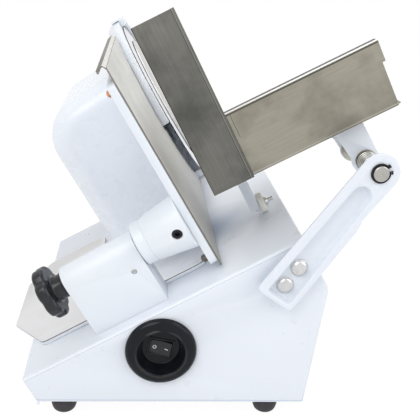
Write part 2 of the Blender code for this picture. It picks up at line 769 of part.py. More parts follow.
def make_switch_bezel(base):
    """A round bezel: an outer ring, a valley, a raised collar and a cup that holds the switch."""
    profile = [
        (0.0, -CUP_DEPTH), (CUP_FLOOR_RADIUS, -CUP_DEPTH),
        (COLLAR_MOUTH_RADIUS, COLLAR_SHOULDER_HEIGHT),
        ((COLLAR_MOUTH_RADIUS + COLLAR_RADIUS) / 2.0, COLLAR_HEIGHT),
        (COLLAR_RADIUS, COLLAR_SHOULDER_HEIGHT),
        (BEZEL_VALLEY_RADIUS, BEZEL_VALLEY_HEIGHT),
        (BEZEL_CREST_RADIUS, BEZEL_HEIGHT),
        (BEZEL_EDGE_RADIUS, BEZEL_EDGE_HEIGHT),
        (BEZEL_RADIUS, BEZEL_RIM_HEIGHT),
        (BEZEL_RADIUS, SEAT_GAP),
        (COLLAR_RADIUS, SEAT_GAP),
        (COLLAR_RADIUS, -CUP_DEPTH - CUP_WALL),
        (0.0, -CUP_DEPTH - CUP_WALL)]
    bezel = turned("switch_bezel", profile, "Y", base, "black_rubber", (SWITCH_X, 0.0, SWITCH_Z), steps=28)
    bezel.rotation_euler = Matrix.Rotation(math.radians(90.0), 4, "X").to_euler()
    half_length = SWITCH_LENGTH / 2.0 + RUNNING_GAP
    half_width = SWITCH_WIDTH / 2.0 + RUNNING_GAP
    window = block(
        "switch_window", (-half_length, CUP_DEPTH - CUT_OVERRUN, -half_width),
        (half_length, CUP_DEPTH + CUP_WALL + CUT_OVERRUN, half_width), base, "black_rubber",
        (SWITCH_X, 0.0, SWITCH_Z))
    window.rotation_euler = (0.0, -SWITCH_TURN, 0.0)
    cut(bezel, window)


def make_switch_body(base):
    """The switch itself: a box that fills the bezel's window, with a well for the rocker."""
    half_length = SWITCH_LENGTH / 2.0
    half_width = SWITCH_WIDTH / 2.0
    front = CUP_DEPTH - SWITCH_RIM
    body = block(
        "switch_body", (-half_length, front, -half_width),
        (half_length, front + SWITCH_BODY_DEPTH, half_width), base, "black_plastic",
        (SWITCH_X, 0.0, SWITCH_Z))
    body.rotation_euler = (0.0, -SWITCH_TURN, 0.0)
    well = block(
        "rocker_well", (-half_length + SWITCH_WALL, front - CUT_OVERRUN, -half_width + SWITCH_WALL),
        (half_length - SWITCH_WALL, front + ROCKER_WELL, half_width - SWITCH_WALL), base,
        "black_plastic", (SWITCH_X, 0.0, SWITCH_Z))
    well.rotation_euler = (0.0, -SWITCH_TURN, 0.0)
    cut(body, well)


def make_rocker(base):
    """The rocker, with a shallow valley between its two halves; it tilts about its own short axis."""
    half_length = SWITCH_LENGTH / 2.0 - SWITCH_WALL - 2.0 * RUNNING_GAP
    half_width = SWITCH_WIDTH / 2.0 - SWITCH_WALL - RUNNING_GAP
    pivot = CUP_DEPTH + RUNNING_GAP
    outline = [
        (-half_length, ROCKER_CROWN), (0.0, ROCKER_VALLEY), (half_length, ROCKER_CROWN),
        (half_length, -ROCKER_END_THICKNESS), (0.0, -ROCKER_MIDDLE_THICKNESS),
        (-half_length, -ROCKER_END_THICKNESS)]
    rocker = plate("rocker_button", outline, "XY", -half_width, half_width, base, "black_plastic",
                   edge=ROCKER_EDGE_RADIUS)
    rocker.data.transform(Matrix.Rotation(math.radians(180.0), 4, "X"))
    rocker.location = (SWITCH_X, pivot, SWITCH_Z)
    turn = Matrix.Rotation(-SWITCH_TURN, 4, "Y") @ Matrix.Rotation(-ROCKER_TILT, 4, "Z")
    rocker.rotation_euler = turn.to_euler()


# Support arms and guide shaft

def arm_outline():
    eye = arc((0.0, 0.0), ARM_EYE_RADIUS, math.radians(270.0), math.radians(90.0), 16)
    corners = [
        (0.0, -ARM_EYE_RADIUS), (0.0, ARM_EYE_RADIUS), (ARM_LENGTH, ARM_LOBE_HALF_WIDTH),
        (ARM_LENGTH, -ARM_HALF_WIDTH), (ARM_WAIST, -ARM_HALF_WIDTH)]
    rounded = round_corners(corners, [0.0, 0.0, ARM_CORNER_RADIUS, ARM_PLATE, ARM_CORNER_RADIUS])
    return [arm_point(*point) for point in eye + rounded[2:]]


def channel_outline(grow, end):
    """The pressed channel: round at the shaft end, widening to the bolts, grown by the sheet."""
    top = CHANNEL_TOP_HALF_WIDTH + grow
    low = CHANNEL_END_HALF_WIDTH + grow
    points = arc((CHANNEL_START, 0.0), top, math.radians(270.0), math.radians(90.0), 12)
    return [arm_point(*point) for point in points + [(end, low), (end, -low)]]


def make_arm(base, side):
    rim_low, rim_high = side_range(side, ARM_INNER, ARM_OUTER)
    name = f"{side}_support_arm"
    arm = plate(name, arm_outline(), "XZ", rim_low, rim_high, base, "white_paint")
    seat_low, seat_high = side_range(side, SEAT_GAP, ARM_OUTER - ARM_PLATE / 2.0)
    channel = plate(
        f"{side}_channel", channel_outline(ARM_PLATE, ARM_LENGTH - ARM_PLATE), "XZ", seat_low, seat_high,
        base, "white_paint", edge=CHANNEL_EDGE_RADIUS)
    # The exact solver loses the far arm or leaves it open at some sizes, so the arms use the other one.
    join(arm, channel, solver="MANIFOLD")
    hollow_low, hollow_high = side_range(side, ARM_SEAT, ARM_OUTER + CUT_OVERRUN)
    hollow = plate(
        f"{side}_channel_hollow", channel_outline(0.0, ARM_LENGTH + CUT_OVERRUN), "XZ", hollow_low,
        hollow_high, base, "white_paint", edge=CHANNEL_EDGE_RADIUS)
    cut(arm, hollow, solver="MANIFOLD")
    low, high = side_range(side, -CUT_OVERRUN, ARM_OUTER + CUT_OVERRUN)
    eye = rod(f"{side}_arm_eye", SHAFT_RADIUS + RUNNING_GAP, "Y", low, high, (SHAFT_X, 0.0, SHAFT_Z), base,
              "white_paint")
    cut(arm, eye, solver="MANIFOLD")
    for number, along in enumerate(arm_bolt_places()):
        x, z = arm_point(along, 0.0)
        hole = rod(f"{side}_arm_hole_{number}", BOLT_RADIUS + RUNNING_GAP, "Y", low, high, (x, 0.0, z),
                   base, "white_paint", steps=SMALL_ROUND_STEPS)
        cut(arm, hole, solver="MANIFOLD")


def y_facing(side):
    """The turn that points a turned piece's top away from the base."""
    degrees = 90.0 if side == "near" else -90.0
    return Matrix.Rotation(math.radians(degrees), 4, "X").to_euler()


def make_arm_bolts(base):
    """Round-headed bolts through arm and panel, and the tapped plates that they pull up inside."""
    shank = ARM_SEAT + BASE_WALL + SEAT_GAP + NUT_PLATE + BOLT_STICKOUT
    profile = [
        (BOLT_HEAD_RADIUS * math.sin(math.radians(angle)),
         BOLT_HEAD_HEIGHT * math.cos(math.radians(angle))) for angle in range(0, 91, 30)]
    profile += [(BOLT_RADIUS, 0.0), (BOLT_RADIUS, -shank), (0.0, -shank)]
    places = arm_bolt_places()
    for side in ("near", "far"):
        seat = side_range(side, ARM_SEAT + SEAT_GAP, ARM_SEAT + SEAT_GAP)[0]
        holes = []
        for number, along in enumerate(places, start=1):
            x, z = arm_point(along, 0.0)
            holes.append(circle((x, z), BOLT_RADIUS + RUNNING_GAP, SMALL_ROUND_STEPS))
            bolt = turned(f"{side}_arm_bolt_{number}", profile, "Y", base, "bright_steel", (x, seat, z),
                          steps=16)
            bolt.rotation_euler = y_facing(side)
        low, high = side_range(side, -BASE_WALL - SEAT_GAP - NUT_PLATE, -BASE_WALL - SEAT_GAP)
        start, end = places[0] - NUT_PLATE_END, places[1] + NUT_PLATE_END
        outline = [
            arm_point(start, NUT_PLATE_HALF_WIDTH), arm_point(start, -NUT_PLATE_HALF_WIDTH),
            arm_point(end, -NUT_PLATE_HALF_WIDTH), arm_point(end, NUT_PLATE_HALF_WIDTH)]
        plate(f"{side}_nut_plate", outline, "XZ", low, high, base, "zinc_steel", holes)


def shaft_end(side):
    low, high = side_range(side, 0.0, ARM_OUTER + SEAT_GAP + CLIP_THICKNESS + SHAFT_STICKOUT)
    return low if side == "near" else high


def make_guide_shaft(base):
    near_end, far_end = shaft_end("near"), shaft_end("far")
    groove = SHAFT_RADIUS - CLIP_GROOVE
    outer_wall = SHAFT_STICKOUT - SEAT_GAP
    inner_wall = SHAFT_STICKOUT + CLIP_THICKNESS + SEAT_GAP
    profile = [
        (0.0, far_end), (SHAFT_RADIUS - SHAFT_CHAMFER, far_end), (SHAFT_RADIUS, far_end - SHAFT_CHAMFER),
        (SHAFT_RADIUS, far_end - outer_wall), (groove, far_end - outer_wall),
        (groove, far_end - inner_wall), (SHAFT_RADIUS, far_end - inner_wall),
        (SHAFT_RADIUS, near_end + inner_wall), (groove, near_end + inner_wall),
        (groove, near_end + outer_wall), (SHAFT_RADIUS, near_end + outer_wall),
        (SHAFT_RADIUS, near_end + SHAFT_CHAMFER), (SHAFT_RADIUS - SHAFT_CHAMFER, near_end), (0.0, near_end)]
    turned("guide_shaft", profile, "Y", base, "bright_steel", (SHAFT_X, 0.0, SHAFT_Z))


def clip_outline():
    """An external retaining ring: a C with two lugs at its mouth."""
    inner = SHAFT_RADIUS - CLIP_GROOVE + RUNNING_GAP
    start = CLIP_OPENING + CLIP_HALF_GAP
    end = CLIP_OPENING + math.tau - CLIP_HALF_GAP
    centre = (SHAFT_X, SHAFT_Z)
    outside = arc(centre, CLIP_RADIUS, start + CLIP_LUG_ANGLE, end - CLIP_LUG_ANGLE, 28)
    lug_low = arc(centre, CLIP_LUG_RADIUS, end - CLIP_LUG_ANGLE, end, 3)
    inside = arc(centre, inner, end, start, 32)
    lug_high = arc(centre, CLIP_LUG_RADIUS, start, start + CLIP_LUG_ANGLE, 3)
    return outside + lug_low + inside + lug_high


def make_shaft_clips(base):
    for side in ("near", "far"):
        low, high = side_range(side, ARM_OUTER + SEAT_GAP, ARM_OUTER + SEAT_GAP + CLIP_THICKNESS)
        plate(f"{side}_shaft_clip", clip_outline(), "XZ", low, high, base, "black_plastic")


def spring_range(side):
    """The Y range of a bumper spring: from the washer at its arm to the carriage's stop there."""
    washer_face = -ARM_INNER + SEAT_GAP + WASHER_THICKNESS + SEAT_GAP
    near_range = (washer_face, BRACKET_NEAR_Y - SEAT_GAP)
    if side == "near":
        return near_range
    return BASE_DEPTH - near_range[1], BASE_DEPTH - near_range[0]


def make_spring_washers(base):
    for side in ("near", "far"):
        washer_high = ARM_INNER - SEAT_GAP
        low, high = side_range(side, washer_high - WASHER_THICKNESS, washer_high)
        tube_ring(
            f"{side}_spring_washer", WASHER_RADIUS, SHAFT_RADIUS + RUNNING_GAP, "Y", low, high,
            (SHAFT_X, 0.0, SHAFT_Z), base, "zinc_steel", steps=24)


def spring_points(side):
    """A helix whose ends leave straight along the shaft for one wire diameter."""
    low, high = spring_range(side)
    middle = SPRING_RADIUS
    first, last = low + SPRING_WIRE, high - SPRING_WIRE
    points = [Vector((middle, low, 0.0))]
    count = SPRING_TURNS * SPRING_POINTS
    for step in range(count + 1):
        angle = math.tau * step / SPRING_POINTS
        y = first + (last - first) * step / count
        points.append(Vector((middle * math.cos(angle), y, middle * math.sin(angle))))
    points.append(Vector((middle, high, 0.0)))
    return points


def make_spring(base, side):
    name = f"{side}_spring"
    curve = bpy.data.curves.new(name, "CURVE")
    curve.dimensions = "3D"
    curve.bevel_depth = SPRING_WIRE / 2.0
    curve.bevel_resolution = 1
    curve.use_fill_caps = True
    points = spring_points(side)
    spline = curve.splines.new("POLY")
    spline.points.add(len(points) - 1)
    for point, place in zip(spline.points, points):
        point.co = (*place, 1.0)
    add_object(name, curve_to_mesh(curve, name), base, "zinc_steel", (SHAFT_X, 0.0, SHAFT_Z))
    least = min(
        (first - second).length for index, first in enumerate(points)
        for second in points[index + SPRING_POINTS // 2:])
    print(f"{name}: least gap to itself {1000.0 * (least - SPRING_WIRE):.2f} mm")


# Gauge

def gauge_outline(inset, bottom, top, near, corner):
    """The plate's outline: square on the near side, hollow on the far side round the blade's ring."""
    centre = (BLADE_Y, BLADE_V)
    upper = RING_OUTER_RADIUS + GAUGE_RING_GAP + inset
    lower = RING_INNER_RADIUS + inset
    top_angle = math.pi - math.asin((top - BLADE_V) / upper)
    near_corners = round_corners(
        [(near, top), (near, bottom), (near + lower, bottom), (near + lower, top)], [corner, corner, 0.0, 0.0])
    hollow = arc(centre, lower, GAUGE_TIP, CUTTING_START + 2.0 * GAUGE_STEP, 10)
    hollow += arc(centre, upper, CUTTING_START + GAUGE_STEP, top_angle, 14)
    tip = hollow[0][0]
    return near_corners[:-2] + [(tip, bottom)] + hollow


def make_gauge_plate(head):
    """The slicing plate, whose front lies on the head frame's zero, with a flange along its top."""
    outline = gauge_outline(0.0, GAUGE_BOTTOM, GAUGE_TOP, GAUGE_NEAR_Y, 0.0)
    sheet = plate("gauge_plate", outline, "YZ", -GAUGE_SHEET, 0.0, head, "stainless")
    top_far = outline[-1][0]
    half_lip = GAUGE_LIP / 2.0
    section = [
        (-GAUGE_SHEET / 2.0, GAUGE_TOP), (-GAUGE_SHEET - half_lip, GAUGE_TOP + GAUGE_LIP),
        (-GAUGE_FLANGE, GAUGE_TOP + half_lip), (-GAUGE_FLANGE, GAUGE_TOP - half_lip),
        (GAUGE_SHEET - GAUGE_FLANGE, GAUGE_TOP - half_lip),
        (GAUGE_SHEET - GAUGE_FLANGE, GAUGE_TOP + half_lip - GAUGE_SHEET),
        (-GAUGE_SHEET - half_lip, GAUGE_TOP + GAUGE_LIP - GAUGE_SHEET),
        (-GAUGE_SHEET, GAUGE_TOP - GAUGE_SHEET), (0.0, GAUGE_TOP - GAUGE_SHEET), (0.0, GAUGE_TOP)]
    flange = plate("gauge_flange", section, "XZ", GAUGE_NEAR_Y, top_far, head, "stainless")
    join(sheet, flange)


def make_gauge_backing(head):
    """A casting behind the plate, hollowed from the back away from its boss."""
    front = -GAUGE_SHEET - SEAT_GAP
    back = front - BACKING_THICKNESS
    top = GAUGE_TOP - BACKING_TOP_DROP
    outline = gauge_outline(BACKING_WALL, BACKING_BOTTOM, top, GAUGE_NEAR_Y, GAUGE_CORNER)
    backing = plate("gauge_backing", outline, "YZ", back, front, head, "white_paint")
    hollow = gauge_outline(
        2.0 * BACKING_WALL, BACKING_BOTTOM + BACKING_WALL, top - BACKING_WALL, BACKING_POCKET_Y,
        GAUGE_CORNER)
    # The exact solver leaves the pocket open with a smaller blade, so the backing uses the other one.
    pocket = plate("backing_pocket", hollow, "YZ", back - CUT_OVERRUN, front - BACKING_WALL, head,
                   "white_paint")
    cut(backing, pocket, solver="MANIFOLD")
    upper_outline = box_outline(
        GAUGE_NEAR_Y + BACKING_WALL, BACKING_POCKET_Y - BACKING_WALL,
        AXIS_V + BOSS_RIGHT_RADIUS + BACKING_WALL,
        GAUGE_TOP - GAUGE_UPPER_SCREW_DROP - GAUGE_SCREW_HEAD_RADIUS - BACKING_WALL)
    upper = plate("backing_upper_pocket", round_corners(upper_outline, GAUGE_CORNER / 2.0), "YZ", back - CUT_OVERRUN,
                  front - BACKING_WALL, head, "white_paint")
    cut(backing, upper, solver="MANIFOLD")
    for number, (y, v) in enumerate(gauge_screw_places()):
        hole = rod(f"backing_hole_{number}", GAUGE_SCREW_RADIUS + RUNNING_GAP, "X", back - CUT_OVERRUN,
                   front + CUT_OVERRUN, (0.0, y, v), head, "white_paint", steps=12)
        cut(backing, hole, solver="MANIFOLD")


def boss_right():
    return -GAUGE_SHEET - BACKING_THICKNESS - 2.0 * SEAT_GAP


def make_gauge_boss(head):
    """The tapered boss that clamps the backing on the adjusting rod."""
    right = boss_right()
    left = right - BOSS_LENGTH
    bore = ROD_RADIUS + RUNNING_GAP
    ring = left + BOSS_RING
    step = BOSS_LEFT_RADIUS + (BOSS_RIGHT_RADIUS - BOSS_LEFT_RADIUS) * BOSS_RING / BOSS_LENGTH
    profile = [
        (bore, right), (BOSS_RIGHT_RADIUS, right), (step, ring + BOSS_GROOVE),
        (step - BOSS_GROOVE, ring), (BOSS_LEFT_RADIUS, ring - BOSS_GROOVE),
        (BOSS_LEFT_RADIUS, left + BOSS_GROOVE), (BOSS_LEFT_RADIUS - BOSS_GROOVE, left), (bore, left)]
    boss = turned("gauge_boss", profile, "X", head, "white_paint", (0.0, AXIS_Y, AXIS_V), closed=True,
                  steps=24)
    hole = rod(
        "set_screw_hole", SET_SCREW_RADIUS + RUNNING_GAP, "Y", AXIS_Y - BOSS_RIGHT_RADIUS - CUT_OVERRUN,
        AXIS_Y, (right - SET_SCREW_DROP, 0.0, AXIS_V), head, "white_paint", steps=SMALL_ROUND_STEPS)
    cut(boss, hole)


def set_screw_outer():
    """Y of the set screw's outer face, sunk just below the boss."""
    share = 1.0 - SET_SCREW_DROP / BOSS_LENGTH
    radius = BOSS_LEFT_RADIUS + (BOSS_RIGHT_RADIUS - BOSS_LEFT_RADIUS) * share
    return AXIS_Y - radius + SET_SCREW_RADIUS / 2.0


def make_set_screw(head):
    x = boss_right() - SET_SCREW_DROP
    inner = AXIS_Y - ROD_RADIUS - SEAT_GAP
    outer = set_screw_outer()
    screw = rod("boss_set_screw", SET_SCREW_RADIUS, "Y", outer, inner, (x, 0.0, AXIS_V), head,
                "black_plastic", steps=SMALL_ROUND_STEPS)
    socket = plate(
        "set_screw_socket", circle((x, AXIS_V), SET_SCREW_SOCKET, 6), "XZ", outer - CUT_OVERRUN,
        outer + SET_SCREW_RADIUS, head, "black_plastic")
    cut(screw, socket)


def rod_left():
    return HOUSING_RIGHT - HOUSING_LENGTH / 2.0


def make_adjusting_rod(head):
    """The rod slides in the housing, carries the boss and is threaded inside for the lead screw."""
    left = rod_left()
    right = boss_right()
    bore = LEAD_RADIUS + RUNNING_GAP
    profile = [
        (0.0, right), (ROD_RADIUS, right), (ROD_RADIUS, left), (bore, left),
        (bore, left + ROD_BORE_LENGTH), (0.0, left + ROD_BORE_LENGTH)]
    turned("adjusting_rod", profile, "X", head, "bright_steel", (0.0, AXIS_Y, AXIS_V), steps=24)


def gauge_screw_places():
    return [(GAUGE_UPPER_SCREW_Y, GAUGE_TOP - GAUGE_UPPER_SCREW_DROP), (GAUGE_LOWER_SCREW_Y, GAUGE_LOWER_SCREW_V)]


def make_gauge_screws(head):
    """Tall-headed screws from the back that hold the casting to studs on the plate."""
    front = -GAUGE_SHEET - SEAT_GAP
    back = front - BACKING_THICKNESS - SEAT_GAP
    profile = [
        (0.0, front), (GAUGE_SCREW_RADIUS, front), (GAUGE_SCREW_RADIUS, back),
        (GAUGE_SCREW_HEAD_RADIUS, back), (GAUGE_SCREW_HEAD_RADIUS, back - GAUGE_SCREW_HEAD),
        (0.0, back - GAUGE_SCREW_HEAD)]
    for name, (y, v) in zip(("upper", "lower"), gauge_screw_places()):
        turned(f"{name}_gauge_screw", profile, "X", head, "brass", (0.0, y, v), steps=16)


# Knob housing and knob

def deck_trim(name, head, low_u, high_u, low_y, high_y):
    """A block below the deck's surface, in the deck's own tilt, that trims what stands on the deck."""
    depth = HOUSING_LENGTH
    low = HEAD_FOOT_S + low_u - CUT_OVERRUN
    high = HEAD_FOOT_S + high_u + CUT_OVERRUN
    return block(
        name, (low, low_y - CUT_OVERRUN, -depth), (high, high_y + CUT_OVERRUN, SEAT_GAP), head.parent,
        "white_paint")


def make_knob_housing(head):
    """A wall with a half-round top that the adjusting rod runs through."""
    far = HOUSING_FAR_Y
    radius = (far - HOUSING_NEAR_Y) / 2.0
    left = HOUSING_RIGHT - HOUSING_LENGTH
    outline = arc((AXIS_Y, AXIS_V), radius, 0.0, math.pi, 16)
    outline += [(HOUSING_NEAR_Y, -radius), (far, -radius)]
    housing = plate("knob_housing", outline, "YZ", left, HOUSING_RIGHT, head, "white_paint")
    work = bmesh.new()
    work.from_mesh(housing.data)
    ends = [
        edge for edge in work.edges
        if all(abs(vert.co.x - left) < MERGE_DISTANCE for vert in edge.verts) and len(edge.link_faces) == 2
        and edge.calc_face_angle() > math.radians(60.0)]
    bmesh.ops.bevel(
        work, geom=ends, offset=HOUSING_END_RADIUS, segments=4, profile=0.5, affect="EDGES",
        clamp_overlap=True)
    work.to_mesh(housing.data)
    work.free()
    bore = rod("housing_bore", ROD_RADIUS + RUNNING_GAP, "X", left + BACKING_THICKNESS,
               HOUSING_RIGHT + CUT_OVERRUN, (0.0, AXIS_Y, AXIS_V), head, "white_paint", steps=24)
    lead = rod("lead_bore", LEAD_RADIUS + RUNNING_GAP, "X", left - CUT_OVERRUN, left + ROD_RADIUS,
               (0.0, AXIS_Y, AXIS_V), head, "white_paint", steps=SMALL_ROUND_STEPS)
    screw_u, screw_v = housing_screw_place()
    screw_hole = rod(
        "housing_screw_hole", HOUSING_SCREW_RADIUS + RUNNING_GAP, "Y", HOUSING_NEAR_Y - CUT_OVERRUN,
        HOUSING_NEAR_Y + 2.0 * HOUSING_SCREW_RADIUS, (screw_u, 0.0, screw_v), head, "white_paint",
        steps=SMALL_ROUND_STEPS)
    trim = deck_trim("housing_trim", head, left, HOUSING_RIGHT, HOUSING_NEAR_Y, far)
    cut(housing, bore, lead, screw_hole, trim)


def housing_screw_place():
    return HOUSING_RIGHT - HOUSING_SCREW_INSET, AXIS_V - HOUSING_SCREW_DROP


def make_housing_screw(head):
    """The guide screw in the housing's near face."""
    u, v = housing_screw_place()
    front = HOUSING_NEAR_Y + HOUSING_SCREW_RADIUS / 2.0
    rod("housing_screw", HOUSING_SCREW_RADIUS, "Y", front,
        HOUSING_NEAR_Y + 2.0 * HOUSING_SCREW_RADIUS - SEAT_GAP, (u, 0.0, v), head, "zinc_steel",
        steps=SMALL_ROUND_STEPS)


def knob_seat():
    return HOUSING_RIGHT - HOUSING_LENGTH - SEAT_GAP


def knob_outline():
    points = []
    for step in range(KNOB_LOBES * KNOB_LOBE_POINTS):
        angle = math.tau * step / (KNOB_LOBES * KNOB_LOBE_POINTS)
        dip = ((1.0 - math.cos(KNOB_LOBES * angle)) / 2.0) ** KNOB_DIP_POWER
        radius = KNOB_RADIUS * (1.0 - KNOB_LOBE_DEPTH_SHARE * dip)
        points.append((radius * math.cos(angle), radius * math.sin(angle)))
    return points


def make_knob(head):
    seat = knob_seat()
    place = (seat, AXIS_Y, AXIS_V)
    disc_right = -KNOB_HUB_LENGTH
    knob = plate("thickness_knob", knob_outline(), "YZ", disc_right - KNOB_THICKNESS, disc_right, head,
                 "black_plastic", edge=KNOB_EDGE_RADIUS, place=place)
    bore = LEAD_RADIUS + RUNNING_GAP
    hub_end = disc_right - KNOB_THICKNESS / 2.0
    hub_profile = [
        (0.0, 0.0), (KNOB_HUB_RADIUS, 0.0), (KNOB_HUB_RADIUS, -KNOB_EDGE_RADIUS),
        (KNOB_HUB_WAIST_RADIUS, disc_right), (KNOB_HUB_WAIST_RADIUS, hub_end), (0.0, hub_end)]
    hub = turned("knob_hub", hub_profile, "X", head, "black_plastic", place, steps=24)
    hole = rod("knob_bore", bore, "X", disc_right - KNOB_SCREW_DEPTH, CUT_OVERRUN, (0.0, 0.0, 0.0), head,
               "black_plastic", steps=SMALL_ROUND_STEPS)
    hole.location = place
    dish = rod("knob_dish", KNOB_HUB_RADIUS, "X", disc_right - KNOB_THICKNESS - CUT_OVERRUN,
               disc_right - KNOB_THICKNESS + KNOB_FACE_DISH, (0.0, 0.0, 0.0), head, "black_plastic",
               steps=24)
    dish.location = place
    # The exact solver leaves a few of the knob's edges open.
    join(knob, hub, solver="MANIFOLD")
    cut(knob, hole, dish, solver="MANIFOLD")


def make_lead_screw(head):
    """The screw turns with the knob and drives the rod along."""
    seat = knob_seat()
    left = seat - KNOB_HUB_LENGTH - KNOB_SCREW_DEPTH + SEAT_GAP
    item = rod("lead_screw", LEAD_RADIUS, "X", left - seat, LEAD_LENGTH, (0.0, 0.0, 0.0), head,
               "zinc_steel", steps=SMALL_ROUND_STEPS)
    item.location = (seat, AXIS_Y, AXIS_V)


# Blade and its drive

def blade_plane():
    """The cutting edge stands in front of the gauge plate by the thickness of a slice."""
    return GAUGE_OPEN


def make_blade(head):
    front = blade_plane()
    ridge = front + BLADE_BEVEL_RISE
    dish = ridge - BLADE_DISH_DEPTH
    profile = [
        (BLADE_SHAFT_RADIUS + RUNNING_GAP, dish), (BLADE_DISH_RADIUS, dish), (BLADE_RIM_RADIUS, ridge),
        (BLADE_RADIUS - BLADE_BEVEL_WIDTH, ridge), (BLADE_RADIUS, front), (BLADE_RADIUS, front - BLADE_EDGE),
        (BLADE_RIM_RADIUS, ridge - BLADE_SHEET), (BLADE_DISH_RADIUS, dish - BLADE_SHEET),
        (BLADE_SHAFT_RADIUS + RUNNING_GAP, dish - BLADE_SHEET)]
    turned("blade", profile, "X", head, "bright_steel", (0.0, BLADE_Y, BLADE_V), closed=True, steps=44)


def cover_seat():
    return blade_plane() + BLADE_BEVEL_RISE + SEAT_GAP


def make_blade_cover(head):
    """The raised disc over the blade's middle."""
    seat = cover_seat()
    top = seat + COVER_RISE
    bore = COVER_BOLT_RADIUS + RUNNING_GAP
    profile = [
        (bore, top), (COVER_EDGE_RADIUS, top), (COVER_RADIUS, seat + COVER_SHEET), (COVER_RADIUS, seat),
        (COVER_RADIUS - COVER_SHEET, seat), (COVER_EDGE_RADIUS - COVER_SHEET / 2.0, top - COVER_SHEET),
        (bore, top - COVER_SHEET)]
    turned("blade_cover", profile, "X", head, "stainless", (0.0, BLADE_Y, BLADE_V), closed=True, steps=44)


def make_cover_bolt(head):
    """The bolt through cover and blade into the end of the spindle."""
    seat = cover_seat() + COVER_RISE + SEAT_GAP
    head_top = seat + COVER_BOLT_HEAD
    profile = [
        (0.0, head_top), (COVER_BOLT_HEAD_RADIUS, head_top), (COVER_BOLT_HEAD_RADIUS, seat),
        (COVER_BOLT_RADIUS, seat), (COVER_BOLT_RADIUS, seat - COVER_BOLT_LENGTH),
        (0.0, seat - COVER_BOLT_LENGTH)]
    turned("blade_bolt", profile, "X", head, "bright_steel", (0.0, BLADE_Y, BLADE_V), steps=24)


def ring_front():
    return blade_plane() - BLADE_EDGE - 2.0 * RUNNING_GAP


def web_front():
    return RING_BACK + WEB


def make_blade_frame(head):
    """The casting behind the blade: a ring, a web, the bearing boss and a foot on the deck."""
    outer = RING_OUTER_RADIUS
    inner = RING_INNER_RADIUS
    bore = BEARING_RADIUS + RUNNING_GAP
    boss_back = RING_BACK - FRAME_BOSS_LENGTH
    profile = [
        (inner, ring_front()), (outer, ring_front()), (outer, ring_front() - RING_RIM_DEPTH),
        (outer - RING_TAPER, RING_BACK), (FRAME_BOSS_RADIUS, RING_BACK),
        (FRAME_BOSS_RADIUS, boss_back), (bore, boss_back), (bore, web_front()), (inner, web_front())]
    frame = turned("blade_frame", profile, "X", head, "white_paint", (0.0, BLADE_Y, BLADE_V), closed=True,
                   steps=56)
    foot = block(
        "frame_foot", (RING_BACK - FRAME_FOOT_LENGTH, FRAME_FOOT_NEAR_Y, -FRAME_FOOT_HEIGHT),
        (RING_BACK + WEB, FRAME_FOOT_FAR_Y, FRAME_FOOT_HEIGHT), head, "white_paint")
    join(frame, foot)
    centre = (BLADE_Y, BLADE_V)
    far = outer + RING_WALL
    notch = arc(centre, far, CUTTING_START, CUTTING_END, 16)
    notch += arc(centre, BLADE_RADIUS - CUTTING_WEB_INSET, CUTTING_END, CUTTING_START, 16)
    opening = plate("cutting_opening", notch, "YZ", RING_BACK - CUT_OVERRUN, ring_front() + CUT_OVERRUN,
                    head, "white_paint")
    trim = deck_trim("frame_trim", head, RING_BACK - FRAME_FOOT_LENGTH, RING_BACK + GAUGE_OPEN + WEB,
                     FRAME_FOOT_NEAR_Y, FRAME_FOOT_FAR_Y)
    cut(frame, opening, trim)


def make_blade_guard(head):
    """The raised rim on the far side of the blade, with a squared cap at its top."""
    back = ring_front() + SEAT_GAP
    front = back + GUARD_HEIGHT
    centre = (BLADE_Y, BLADE_V)
    outer = RING_OUTER_RADIUS
    inner = RING_INNER_RADIUS
    outline = arc(centre, outer, GUARD_START, GUARD_END, 30) + arc(centre, inner, GUARD_END, GUARD_START, 30)
    guard = plate("blade_guard", outline, "YZ", back, front, head, "white_paint")
    top = BLADE_V + outer
    cap_centre = BLADE_Y
    cap_y = (cap_centre - CAP_HALF_WIDTH, cap_centre + CAP_HALF_WIDTH)
    cap = block("guard_cap", (back, cap_y[0], BLADE_V + inner + SEAT_GAP), (front, cap_y[1], top + CAP_RISE), head,
                "white_paint")
    roof = block("guard_cap_roof", (back - CAP_BACK, cap_y[0], top + SEAT_GAP), (front, cap_y[1], top + CAP_RISE),
                 head, "white_paint")
    join(guard, cap, roof)


def make_blade_shaft(head):
    """The spindle: a seat for the blade, a flange behind it, the bearing seats and the wheel's seat."""
    dish_back = blade_plane() + BLADE_BEVEL_RISE - BLADE_DISH_DEPTH - BLADE_SHEET
    front = dish_back + BLADE_SHEET
    flange = 2.0 * BLADE_SHAFT_RADIUS
    back = wheel_range()[0] - MOTOR_GAP_TO_WORM
    flange_back = web_front() + MOTOR_GAP_TO_WORM
    bore = COVER_BOLT_RADIUS + RUNNING_GAP
    bore_end = front - COVER_BOLT_LENGTH
    profile = [
        (0.0, bore_end), (bore, bore_end), (bore, front), (BLADE_SHAFT_RADIUS, front),
        (BLADE_SHAFT_RADIUS, dish_back - SEAT_GAP), (flange, dish_back - SEAT_GAP), (flange, flange_back),
        (BLADE_SHAFT_RADIUS, flange_back), (BLADE_SHAFT_RADIUS, back), (0.0, back)]
    turned("blade_shaft", profile, "X", head, "bright_steel", (0.0, BLADE_Y, BLADE_V), steps=24)


def make_shaft_bearings(head):
    back = RING_BACK - FRAME_BOSS_LENGTH + SEAT_GAP
    front = web_front() - BEARING_WIDTH - SEAT_GAP
    for name, low in (("rear", back), ("front", front)):
        tube_ring(
            f"{name}_blade_bearing", BEARING_RADIUS, BLADE_SHAFT_RADIUS + RUNNING_GAP, "X", low,
            low + BEARING_WIDTH, (0.0, BLADE_Y, BLADE_V), head, "zinc_steel", steps=24)


def wheel_range():
    high = RING_BACK - FRAME_BOSS_LENGTH - MOTOR_GAP_TO_WORM / 2.0
    return high - WHEEL_WIDTH, high


